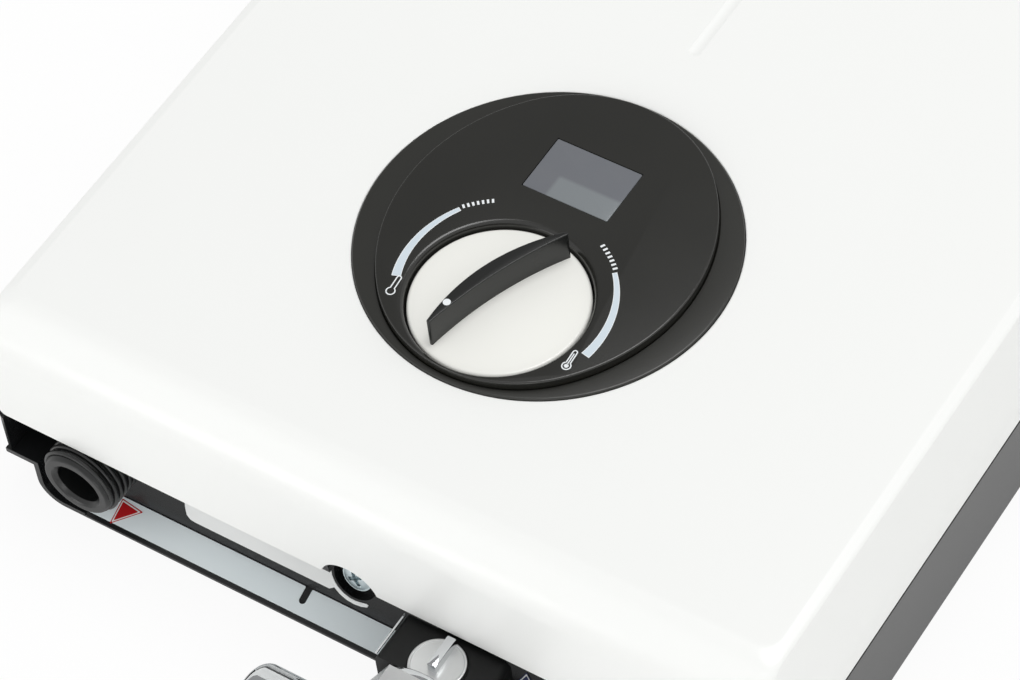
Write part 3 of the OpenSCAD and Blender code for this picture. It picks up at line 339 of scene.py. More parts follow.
class Finishes:
    """The heater's finishes, each named for the real material."""

    # Injection-moulded ABS from a polished tool: an even, bright white with broad soft highlights.
    HOOD = Finish("abs_polished_white", "#f5f6f4", "#f2f3f1", 0.3, 0.03, 7.0, 0.006, 90.0, ior=1.53)
    # The same plastic in black: dark in itself, but it mirrors the pale floor at a low angle.
    PANEL = Finish("abs_polished_black", "#191a1b", "#1e1f20", 0.2, 0.03, 5.0, 0.005, 60.0, ior=1.42)
    # Polycarbonate from a spark-eroded tool: a soft satin black. The grit is drawn coarse enough to show.
    BEZEL = Finish("polycarbonate_satin_black", "#1f1f1b", "#23231f", 0.3, 0.03, 0.35, 0.006, 30.0, ior=1.58)
    # The same polycarbonate with a lacquer: a little smoother than the ring around it.
    FASCIA = Finish(
        "polycarbonate_lacquered_black", "#1c1c19", "#20201c", 0.24, 0.03, 0.45, 0.004, 30.0, ior=1.58
    )
    # Smoked acrylic in front of a display that is off: a grey, faintly blue gloss.
    DISPLAY = DisplayFinish(
        "acrylic_smoked_display", "#6b6e74", "#707276", 0.12, 0.03, 2.0, 0.001, 9.0, ior=1.49
    )
    # Polished ABS in a warm cream with a deep, clean gloss.
    CREAM = Finish("abs_polished_cream", "#f5f5f0", "#f1f1eb", 0.22, 0.03, 4.0, 0.004, 25.0, ior=1.53)
    # ABS with a fine matt tool texture, which keeps finger marks away.
    GRIP = Finish("abs_textured_black", "#131413", "#181918", 0.28, 0.04, 0.3, 0.007, 14.0, ior=1.53)
    # White and pale blue screen ink: thin, matt and slightly uneven.
    INK_WHITE = Finish("screen_ink_white", "#f1f4f5", "#e6ebee", 0.5, 0.04, 0.2, 0.003, 4.0)
    INK_BLUE = Finish("screen_ink_pale_blue", "#c9d6df", "#d3dee6", 0.5, 0.04, 0.2, 0.003, 4.0)
    # Glass-filled nylon: a dull, slightly mottled black with a fine dry grain.
    NYLON = Finish("nylon_glass_filled_black", "#0e0f0f", "#161717", 0.34, 0.06, 0.4, 0.008, 6.0, ior=1.53)
    # The same nylon from a fine matt tool: a deep black that swallows the light.
    DEEP_NYLON = Finish("nylon_matt_black", "#090a0a", "#0e0f0f", 0.45, 0.03, 3.0, 0.004, 20.0, ior=1.33)
    # Brass with a chrome plate: a bright mirror with faint water smears.
    CHROME = Finish("brass_chrome_plated", "#dfe1e3", "#d6d8da", 0.06, 0.03, 9.0, 0.004, 12.0, 1.0)
    # Nickel-plated brass left satin, on the regulator's disc and the union's hexagon.
    NICKEL = Finish(
        "brass_nickel_satin", "#d5d6d6", "#cbcccc", 0.3, 0.04, 0.5, 0.004, 8.0, 1.0, grain=Grain.DRAWN_Y
    )
    # Zinc-plated steel: bright, cold and a little cloudy, with a blue passivation.
    ZINC = Finish("steel_zinc_plated", "#d8e2e5", "#c4d1d5", 0.34, 0.06, 0.6, 0.006, 3.0, 1.0)
    # Polyester film with a silver-grey backing and very fine lines along the bay. Its colour is painted far
    # paler than silver-grey: painted light that makes up for the shade under the hood's lip.
    FILM = Finish(
        "polyester_film_silver_painted_light", "#ebf5f8", "#f0f8fa", 0.34, 0.03, 0.25, 0.002, 30.0, grain=Grain.DRAWN_X
    )
    # Vinyl film: a clean matt white, and the red and the blue of the pipe marks.
    VINYL = Finish("vinyl_film_white", "#f2f3f2", "#eceeed", 0.45, 0.03, 0.6, 0.003, 20.0)
    VINYL_RED = Finish("vinyl_film_red", "#c4161c", "#b81319", 0.4, 0.03, 0.6, 0.003, 10.0)
    VINYL_BLUE = Finish("vinyl_film_blue", "#1b2450", "#202a58", 0.4, 0.03, 0.6, 0.003, 10.0)
    # Black rubber with a dry bloom.
    RUBBER = Finish("epdm_rubber_black", "#161616", "#1f1f1f", 0.7, 0.06, 0.5, 0.02, 12.0, ior=1.52)
    # Cold-rolled steel strip with a zinc coat and faint rolling lines.
    STEEL = Finish(
        "steel_rolled_zinc", "#a9adb0", "#b6babc", 0.34, 0.06, 0.4, 0.006, 9.0, 1.0, grain=Grain.DRAWN_X
    )
    # Drawn copper tube, dulled a little by handling.
    COPPER = Finish(
        "copper_drawn_tube", "#b87b58", "#a8674a", 0.3, 0.08, 0.5, 0.006, 8.0, 1.0, grain=Grain.DRAWN_Y
    )
    # Turned brass with fine tool lines.
    BRASS = Finish(
        "brass_turned", "#c0a05a", "#b08f4c", 0.26, 0.06, 0.9, 0.008, 6.0, 1.0, grain=Grain.TURNED_Y
    )
    # Extruded aluminium with lines along its length.
    ALUMINIUM = Finish(
        "aluminium_extruded", "#b7babc", "#a9adb0", 0.36, 0.05, 0.5, 0.01, 9.0, 1.0, grain=Grain.DRAWN_Y
    )
    # Woven glass and epoxy under a green solder mask.
    BOARD = BoardFinish("fr4_solder_mask_green", "#285c34", "#2f6a3d", 0.35, 0.05, 0.4, 0.006, 12.0)
    # The same board with the dark moulded cases of its relays and capacitors.
    POWER_BOARD = BoardFinish(
        "fr4_populated_green", "#285c34", "#2f6a3d", 0.35, 0.05, 0.4, 0.006, 12.0, parts_mm=10.65
    )
    # Glass-filled moulding in ivory, dry and matt.
    IVORY = Finish("ppa_moulded_ivory", "#d9d5c8", "#cfcbbd", 0.5, 0.06, 0.5, 0.012, 14.0)
    # Plain moulded plastics of the inner pieces.
    GREY = Finish("pbt_moulded_grey", "#84878a", "#7a7d80", 0.5, 0.05, 0.5, 0.01, 10.0)
    DARK = Finish("pbt_moulded_dark", "#2a2a2b", "#333334", 0.5, 0.05, 0.5, 0.01, 10.0)
    RED = Finish("pbt_moulded_red", "#b81a1f", "#a8161b", 0.4, 0.05, 0.5, 0.008, 6.0)
    BLUE = Finish("pom_moulded_blue", "#2f6ba6", "#285f96", 0.35, 0.05, 0.5, 0.008, 6.0)


def filleted(corners: Sequence[Corner], steps: int = 6) -> list[Point]:
    """Round the corners of a closed outline.

    Args:
        corners: Corners as x, y and the radius there, in order.
        steps: Straight pieces in each rounding.

    Returns:
        The outline's points.
    """
    points: list[Point] = []
    count = len(corners)
    for i, (x, y, radius) in enumerate(corners):
        here = Vector((x, y))
        before = (Vector(corners[i - 1][:2]) - here).normalized()
        after = (Vector(corners[(i + 1) % count][:2]) - here).normalized()
        half = before.angle(after) / 2
        if radius <= 0 or abs(half - math.pi / 2) < 1e-4:
            points.append((x, y))
            continue
        reach = radius / math.tan(half)
        middle = here + (before + after).normalized() * (radius / math.sin(half))
        first, last = here + before * reach - middle, here + after * reach - middle
        sweep = first.angle_signed(last)
        for k in range(steps + 1):
            spoke = Matrix.Rotation(-sweep * k / steps, 2) @ first
            points.append(tuple(middle + spoke))
    return points


def rectangle(low: Point, high: Point, inset: float = 0.0, radius: float = 0.0) -> list[Corner]:
    """Return a rectangle's corners, drawn in by an inset and with a radius at each."""
    x0, y0, x1, y1 = low[0] + inset, low[1] + inset, high[0] - inset, high[1] - inset
    return [(x0, y0, radius), (x1, y0, radius), (x1, y1, radius), (x0, y1, radius)]


def arc(middle: Point, radius: float, start: float, sweep: float, steps: int) -> list[Point]:
    """Return points along an arc.

    Args:
        middle: Middle of the circle.
        radius: Radius of the circle.
        start: Direction of the first point, in degrees.
        sweep: Turn to the last point, in degrees.
        steps: Straight pieces along the arc.

    Returns:
        The points, one more than the pieces.
    """
    turns = [math.radians(start + sweep * k / steps) for k in range(steps + 1)]
    return [(middle[0] + radius * math.cos(a), middle[1] + radius * math.sin(a)) for a in turns]


def to_axis(profile: Sequence[Point]) -> list[Point]:
    """Close a profile at its two ends straight to the axis."""
    return [(0.0, profile[0][1]), *profile, (0.0, profile[-1][1])]


def level(z: float) -> Placement:
    """Return the placement on a level plane at a height."""
    return lambda x, y, h: Vector((x, y, z + h))


def raised(on: Placement, base: float) -> Placement:
    """Return a placement that starts above another."""
    return lambda x, y, h: on(x, y, h + base)


def linked(name: str, data: Any) -> bpy.types.Object:
    """Make an object of some data and link it into the scene.

    Args:
        name: Name of the object.
        data: Its mesh, lamp or camera.

    Returns:
        The object.
    """
    made = bpy.data.objects.new(name, data)
    bpy.context.scene.collection.objects.link(made)
    return made


def to_mesh(name: str, work: bmesh.types.BMesh, sharp: float = 32.0) -> Mesh:
    """Turn a bmesh in millimetres into a mesh in metres with clean normals.

    Args:
        name: Name of the mesh.
        work: The bmesh, which is freed.
        sharp: Angle in degrees above which an edge stays sharp.

    Returns:
        The mesh.
    """
    bmesh.ops.remove_doubles(work, verts=work.verts, dist=1e-4)
    bmesh.ops.recalc_face_normals(work, faces=work.faces)
    bmesh.ops.scale(work, vec=(MM, MM, MM), verts=work.verts)
    mesh = bpy.data.meshes.new(name)
    work.to_mesh(mesh)
    work.free()
    mesh.shade_smooth()
    mesh.set_sharp_from_angle(angle=math.radians(sharp))
    return mesh


def turned(name: str, profile: Sequence[Point], axis: Axis, centre: Corner, steps: int) -> Mesh:
    """Turn a closed profile about an axis.

    Args:
        name: Name of the mesh.
        profile: Radius and distance along the axis of each point, in order.
        axis: Axis to turn about.
        centre: Point on the axis where the distance along it is 0.
        steps: Pieces in the full turn.

    Returns:
        The mesh.
    """
    work = bmesh.new()
    origin = Vector(centre)
    rings: list[list[bmesh.types.BMVert]] = []
    for radius, along in profile:
        angles = [0.0] if radius < 1e-6 else [math.tau * k / steps for k in range(steps)]
        rings.append([work.verts.new(origin + axis.place(radius, a, along)) for a in angles])
    for ring, other in zip(rings, rings[1:] + rings[:1]):
        for k in range(steps):
            corners = [ring[k % len(ring)], ring[(k + 1) % len(ring)]]
            corners += [other[(k + 1) % len(other)], other[k % len(other)]]
            corners = list(dict.fromkeys(corners))
            if len(corners) > 2:
                work.faces.new(corners)
    return to_mesh(name, work)


def lofted(name: str, rings: Sequence[Sequence[Vector]], ring_shaped: bool = False) -> Mesh:
    """Join rings of points into a closed skin.

    Args:
        name: Name of the mesh.
        rings: Rings with the same number of points, in order.
        ring_shaped: Whether the last ring joins the first instead of both ends being capped.

    Returns:
        The mesh.
    """
    work = bmesh.new()
    made = [[work.verts.new(p) for p in ring] for ring in rings]
    pairs = list(zip(made, made[1:]))
    if ring_shaped:
        pairs.append((made[-1], made[0]))
    for ring, other in pairs:
        for k in range(len(ring)):
            n = (k + 1) % len(ring)
            work.faces.new((ring[k], ring[n], other[n], other[k]))
    if not ring_shaped:
        work.faces.new(made[0])
        work.faces.new(made[-1])
    return to_mesh(name, work)


def stacked(
    name: str, outline: Callable[[float], Sequence[Point]], levels: Sequence[Point], place: Placement
) -> Mesh:
    """Stack outlines that are drawn in step by step, for a body with softly broken edges.

    Args:
        name: Name of the mesh.
        outline: Gives the outline for an inset.
        levels: Inset and height of each outline, from the foot up.
        place: Maps the outline's two directions and the height into the row frame.

    Returns:
        The mesh.
    """
    return lofted(name, [[place(x, y, h) for x, y in outline(inset)] for inset, h in levels])


def plate(name: str, outline: Sequence[Point], place: Placement, thick: float) -> Mesh:
    """Make a plate of even thickness, from its outline in the two directions of the surface it lies on."""
    return stacked(name, lambda inset: outline, ((0.0, 0.0), (0.0, thick)), place)


def ribbon(path: Sequence[Point], widths: Sequence[float], loop: bool = False) -> list[list[Point]]:
    """Give a flat path its width.

    Args:
        path: Points along the middle.
        widths: Width at each point.
        loop: Whether the path closes on itself.

    Returns:
        The left and right border.
    """
    sides: list[list[Point]] = [[], []]
    count = len(path)
    for i, (x, y) in enumerate(path):
        before = path[i - 1] if loop or i else path[i]
        after = path[(i + 1) % count] if loop or i + 1 < count else path[i]
        run = Vector((after[0] - before[0], after[1] - before[1])).normalized()
        for side, sign in zip(sides, (0.5, -0.5)):
            side.append((x - run.y * widths[i] * sign, y + run.x * widths[i] * sign))
    return sides


def bake_holder(holder: bpy.types.Object, name: str, sharp: float | None) -> Mesh:
    """Turn an object with modifiers into a plain mesh and remove the object.

    Args:
        holder: The object.
        name: Name of the mesh.
        sharp: Angle in degrees above which an edge stays sharp, or None to keep the shading as it is.

    Returns:
        The mesh.
    """
    graph = bpy.context.evaluated_depsgraph_get()
    made = bpy.data.meshes.new_from_object(holder.evaluated_get(graph))
    old = holder.data
    bpy.data.objects.remove(holder)
    bpy.data.meshes.remove(old)
    made.name = name
    if sharp is not None:
        made.shade_smooth()
        made.set_sharp_from_angle(angle=math.radians(sharp))
    return made


def cut(mesh: Mesh, tools: Iterable[Mesh]) -> Mesh:
    """Cut closed tools out of a closed mesh.

    Args:
        mesh: The mesh to cut.
        tools: The shapes to take away.

    Returns:
        A new mesh under the same name.
    """
    name = mesh.name
    holder = linked("cut_holder", mesh)
    cutters = [linked("cutter", tool) for tool in tools]
    for cutter in cutters:
        step = holder.modifiers.new("cut", "BOOLEAN")
        step.operation = "DIFFERENCE"
        step.solver = "EXACT"
        step.object = cutter
    made = bake_holder(holder, name, sharp=25.0)
    for cutter in cutters:
        tool = cutter.data
        bpy.data.objects.remove(cutter)
        bpy.data.meshes.remove(tool)
    return made


def soften(mesh: Mesh, edge_mm: float = 0.0) -> Mesh:
    """Break the sharp edges of a mesh with a narrow bevel and let its large faces lead the shading.

    Args:
        mesh: The mesh, with its sharp edges marked.
        edge_mm: Width of the bevel, or 0 for none.

    Returns:
        A new mesh under the same name.
    """
    name = mesh.name
    holder = linked("soften_holder", mesh)
    if edge_mm:
        weights = mesh.attributes.new("bevel_weight_edge", "FLOAT", "EDGE")
        for edge in mesh.edges:
            weights.data[edge.index].value = float(edge.use_edge_sharp)
        bevel = holder.modifiers.new("edges", "BEVEL")
        bevel.width = edge_mm * MM
        bevel.segments = 3
        bevel.limit_method = "WEIGHT"
        bevel.harden_normals = False
    lead = holder.modifiers.new("lead", "WEIGHTED_NORMAL")
    lead.mode = "FACE_AREA"
    lead.keep_sharp = True
    return bake_holder(holder, name, sharp=None)


@dataclass
class Workshop:
    """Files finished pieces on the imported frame.

    Attributes:
        nodes: Objects of the CAD nodes.
    """

    nodes: dict[str, bpy.types.Object]

    def file(self, mesh: Mesh, finish: Finish, slot: str, *replaces: str, body: Body = Body.CASING) -> None:
        """Make a piece of a mesh and hang it on its body.

        Args:
            mesh: The finished mesh, which names the piece.
            finish: Its finish.
            slot: Not used.
            replaces: CAD nodes that it stands for.
            body: Body it rides on.
        """
        piece = linked(mesh.name, mesh)
        mesh.materials.clear()
        mesh.materials.append(finish.material())
        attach(piece, body.value)
        if replaces:
            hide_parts(*replaces)
        LOG.info("%s on %s in %s", piece.name, body.value, finish.name)

    def paint(self, finish: Finish, *names: str) -> None:
        """Give CAD nodes that stay a better finish.

        Args:
            finish: The finish.
            names: The nodes.
        """
        for name in names:
            mesh = self.nodes[name].data
            mesh.materials.clear()
            mesh.materials.append(finish.material())
            LOG.info("%s kept in %s", name, finish.name)

    def smooth_copy(
        self,
        node: str,
        name: str,
        sharp: float = 30.0,
        edge_mm: float = 0.0,
        moved: Callable[[Vector], Vector] = lambda at: at,
    ) -> Mesh:
        """Copy a CAD node with joined faces, smooth curves and softly broken edges.

        Args:
            node: The CAD node.
            name: Name of the copy.
            sharp: Angle in degrees above which an edge stays sharp.
            edge_mm: Width of the broken edges, or 0 for none.
            moved: New place of each point.

        Returns:
            The mesh.
        """
        joined_mm, flat = 1e-3, math.radians(0.5)
        work = bmesh.new()
        work.from_mesh(self.nodes[node].data)
        bmesh.ops.scale(work, vec=(1 / MM,) * 3, verts=work.verts)
        bmesh.ops.remove_doubles(work, verts=work.verts, dist=joined_mm)
        bmesh.ops.dissolve_limit(
            work, angle_limit=flat, verts=work.verts, edges=work.edges, delimit={"NORMAL"}
        )
        for vert in work.verts:
            vert.co = moved(vert.co)
        return soften(to_mesh(name, work, sharp), edge_mm)


@dataclass
class NodeTool:
    """Geometry Nodes tree with named inputs that is run once and gives a plain mesh.

    Attributes:
        name: Name of the mesh.
        inputs: Input name to its value.
        tree: The tree.
        entry: Node that gives the tree its inputs.
    """

    name: str
    inputs: dict[str, float]
    tree: bpy.types.GeometryNodeTree = field(init=False)
    entry: Any = field(init=False)

    def __post_init__(self) -> None:
        """Open the tree with its inputs and its output."""
        self.tree = bpy.data.node_groups.new(self.name + "_tree", "GeometryNodeTree")
        for name, value in self.inputs.items():
            kind = "NodeSocketInt" if isinstance(value, int) else "NodeSocketFloat"
            self.tree.interface.new_socket(name, in_out="INPUT", socket_type=kind)
        self.tree.interface.new_socket("Geometry", in_out="OUTPUT", socket_type="NodeSocketGeometry")
        self.entry = add_node(self.tree, "NodeGroupInput")

    def run(self, shape: Socket, finish: Finish, sharp: float) -> Mesh:
        """End the tree with real geometry and its material, and run it.

        Args:
            shape: Socket of the geometry.
            finish: Finish of the geometry.
            sharp: Angle in degrees above which an edge stays sharp.

        Returns:
            The mesh.
        """
        real = add_node(self.tree, "GeometryNodeRealizeInstances", {0: shape})
        dress = {"Geometry": real.outputs[0], "Material": finish.material()}
        dressed = add_node(self.tree, "GeometryNodeSetMaterial", dress)
        add_node(self.tree, "NodeGroupOutput", {0: dressed.outputs[0]})
        holder = linked("tree_holder", bpy.data.meshes.new("tree_holder"))
        step = holder.modifiers.new("tree", "NODES")
        step.node_group = self.tree
        for item in self.tree.interface.items_tree:
            if item.in_out == "INPUT":
                step[item.identifier] = self.inputs[item.name]
        return bake_holder(holder, self.name, sharp)


@dataclass
class Thread:
    """Rounded pipe thread along Y, as a ridge that winds round a core.

    Attributes:
        name: Name of the mesh.
        centre: Middle of the thread's first end.
        crest_r: Radius over the crests.
        length: Length along Y.
        pitch: Distance between crests.
        ridge_r: Radius of the ridge's section.
    """

    name: str
    centre: Corner
    crest_r: float
    length: float
    pitch: float = 1.814
    ridge_r: float = 0.62

    def mesh(self, finish: Finish) -> Mesh:
        """Wind the ridge.

        Args:
            finish: Finish of the ridge.

        Returns:
            The mesh.
        """
        sizes = {
            "Turns": self.length / self.pitch,
            "Radius": (self.crest_r - self.ridge_r) * MM,
            "Length": self.length * MM,
            "Ridge": self.ridge_r * MM,
            "Steps": 40,
        }
        tool = NodeTool(self.name, sizes)
        tree, size = tool.tree, tool.entry.outputs
        winding = {
            "Resolution": size["Steps"],
            "Rotations": size["Turns"],
            "Start Radius": size["Radius"],
            "End Radius": size["Radius"],
            "Height": size["Length"],
        }
        path = add_node(tree, "GeometryNodeCurveSpiral", winding)
        circle = {"Resolution": 8, "Radius": size["Ridge"]}
        section = add_node(tree, "GeometryNodeCurvePrimitiveCircle", circle)
        sweep = {"Curve": path.outputs[0], "Profile Curve": section.outputs[0], "Fill Caps": True}
        swept = add_node(tree, "GeometryNodeCurveToMesh", sweep)
        along_y = {
            "Geometry": swept.outputs[0],
            "Translation": tuple(c * MM for c in self.centre),
            "Rotation": (-math.pi / 2, 0.0, 0.0),
        }
        placed = add_node(tree, "GeometryNodeTransform", along_y)
        return tool.run(placed.outputs[0], finish, sharp=60.0)


@dataclass
class Casing:
    """White hood, black back panel and the joint between them.

    Attributes:
        half: Half width and half length of the hood at its lip.
        lip_z: Height of the lip.
        lip_edge: Rounding of the lip's outer edge.
        front_z: Height of the front.
        draft_z: Where the sides start to lean in.
        draft_r: Rounding where the sides start to lean in.
        draft: How far the sides lean in.
        band: Width of the shallow fall along the long front edges.
        band_r: Rounding between the fall and the front.
        fall: Depth of the shallow fall.
        front_edge: Rounding of the long front edges.
        end_r: Rounding across the lower and upper end.
        corner_r: Rounding of the upright corners.
        wall: Thickness of the hood.
        dial: Place along Y and radius of the dial's opening.
        dial_edge: Widening of the opening and height over the front, from below.
        groove_y: Ends of the front groove.
        groove: Half width and depth of the front groove.
        notch: Middle and radius of the screw's notch in the lip.
        notch_y: Reach of the notch from the lower end.
        rim_x: Half width of the panel's rim over the bay.
        rim_y: Ends of the cut that sets the rim back.
        rim_z: Heights of the cut that sets the rim back.
    """

    shop: Workshop
    half: Point = (108.0, 187.5)
    lip_z: float = 29.0
    lip_edge: float = 0.4
    front_z: float = 65.0
    draft_z: float = 36.0
    draft_r: float = 40.0
    draft: float = 2.5
    band: float = 2.7
    band_r: float = 1.5
    fall: float = 0.8
    front_edge: float = 1.0
    end_r: float = 12.5
    corner_r: float = 4.0
    wall: float = 2.5
    dial: Point = (-103.0, 46.1)
    dial_edge: tuple[Point, ...] = ((0.0, -6.0), (0.0, -0.4), (0.1, -0.12), (0.4, 0.02), (0.4, 2.0))
    groove_y: Point = (-37.6, 146.0)
    groove: Point = (1.6, 0.4)
    notch: Corner = (-4.5, 26.8, 8.0)
    notch_y: Point = (-2.0, 3.5)
    rim_x: float = 104.5
    rim_y: Point = (-188.5, -184.9)
    rim_z: Point = (24.4, 27.65)

    def build(self) -> None:
        """Make the casing's pieces."""
        body = lofted("hood_shell", self.hood_rings())
        hood = soften(cut(body, self.hood_tools()))
        self.shop.file(hood, Finishes.HOOD, "white_gloss", "hood")
        self.panel()
        self.shop.paint(Finishes.RUBBER, "casing_seal", "cable_grommet")
        self.shop.paint(Finishes.STEEL, "wall_bracket")
        self.shop.paint(Finishes.IVORY, "bracket_nut")

    def panel(self) -> None:
        """Copy the back panel, with the rim over the bay set back under the hood's lip."""
        (low, high), (foot, top) = self.rim_y, self.rim_z
        outline = filleted(rectangle((-self.rim_x, low), (self.rim_x, high)))
        box = plate("rim_tool", outline, level(foot), top - foot)
        mesh = cut(self.shop.smooth_copy("back_panel", "panel_shell", sharp=25.0), [box])
        self.shop.file(soften(mesh), Finishes.PANEL, "black_shell", "back_panel")

    def side_profile(self) -> list[Point]:
        """Draw the hood's side from the lip to the flat of the front.

        Returns:
            Half width and height of each point.
        """
        x, top = self.half[0], self.front_z
        turn = x - self.draft
        run = 20.0
        corners: list[Corner] = [
            (x - run, self.lip_z, 0.0),
            (x, self.lip_z, self.lip_edge),
            (x, self.draft_z, self.draft_r),
            (turn, top - self.fall, self.front_edge),
            (turn - self.band, top, self.band_r),
            (turn - run, top, 0.0),
        ]
        return filleted(corners, steps=7)[1:-1]

    def ring(self, w: float, z: float, inset: float) -> list[Vector]:
        """Return the hood's outline at a height.

        Args:
            w: Half width of the outside there.
            z: Height.
            inset: Distance inside the outside.

        Returns:
            The outline's points.
        """
        r = self.end_r - inset
        rise = min(max(z - (self.front_z - self.end_r), 0.0), r)
        l = self.half[1] - self.end_r + math.sqrt(r * r - rise * rise)
        w -= inset
        corner = max(self.corner_r - inset, 1.0)
        corners = [(w, -l, corner), (w, l, corner), (-w, l, corner), (-w, -l, corner)]
        outline = filleted(corners, steps=8)
        return [Vector((x, y, z)) for x, y in outline]

    def hood_rings(self) -> list[list[Vector]]:
        """Draw the hood's outlines.

        Returns:
            The outlines down the outside and up the inside.
        """
        side = self.side_profile()

        def width(z: float) -> float:
            """Find the half width of the outside.

            Args:
                z: Height.

            Returns:
                The half width there.
            """
            for (w0, z0), (w1, z1) in zip(side, side[1:]):
                if z0 <= z <= z1 and z1 > z0:
                    return w0 + (w1 - w0) * (z - z0) / (z1 - z0)
            return side[-1][0]

        steps, least_rise = 16, 0.004
        rises = [math.sin(math.pi / 2 * k / steps) for k in range(steps)]
        foot = self.front_z - self.end_r
        heights = sorted([z for _, z in side] + [foot + self.end_r * s for s in rises])
        levels = heights[:1]
        for z in heights:
            if z - levels[-1] > least_rise:
                levels.append(z)
        outside = [self.ring(width(z), z, 0.0) for z in levels]
        outside[0] = self.ring(side[0][0], self.lip_z, 0.0)
        reach = self.end_r - self.wall
        inner = [self.lip_z, self.draft_z, foot] + [foot + reach * s for s in rises[2::2]]
        inside = [self.ring(width(z), z, self.wall) for z in inner]
        inside.append(self.ring(side[-1][0], self.front_z - self.wall, self.wall))
        return outside[::-1] + inside

    def hood_tools(self) -> list[Mesh]:
        """Make the shapes that are cut out of the hood.

        Returns:
            The dial's opening, the groove and the screw's notch.
        """
        top = self.front_z
        y, r = self.dial
        opening = to_axis([(r + wide, top + rise) for wide, rise in self.dial_edge])
        half, depth = self.groove
        big = (half * half + depth * depth) / (2 * depth)
        low, high = self.groove_y
        rod = arc((0.0, low + half), big, -90.0, 90.0, steps=12)
        rod += arc((0.0, high - half), big, 0.0, 90.0, steps=12)
        rod = [(max(out, 0.0), along) for out, along in rod]
        x, z, notch_r = self.notch
        notch = to_axis([(notch_r, reach - self.half[1]) for reach in self.notch_y])
        return [
            turned("opening_tool", opening, Axis.Z, (0.0, y, 0.0), steps=240),
            turned("groove_tool", rod, Axis.Y, (0.0, 0.0, top + big - depth), steps=96),
            turned("notch_tool", notch, Axis.Y, (x, 0.0, z), steps=96),
        ]


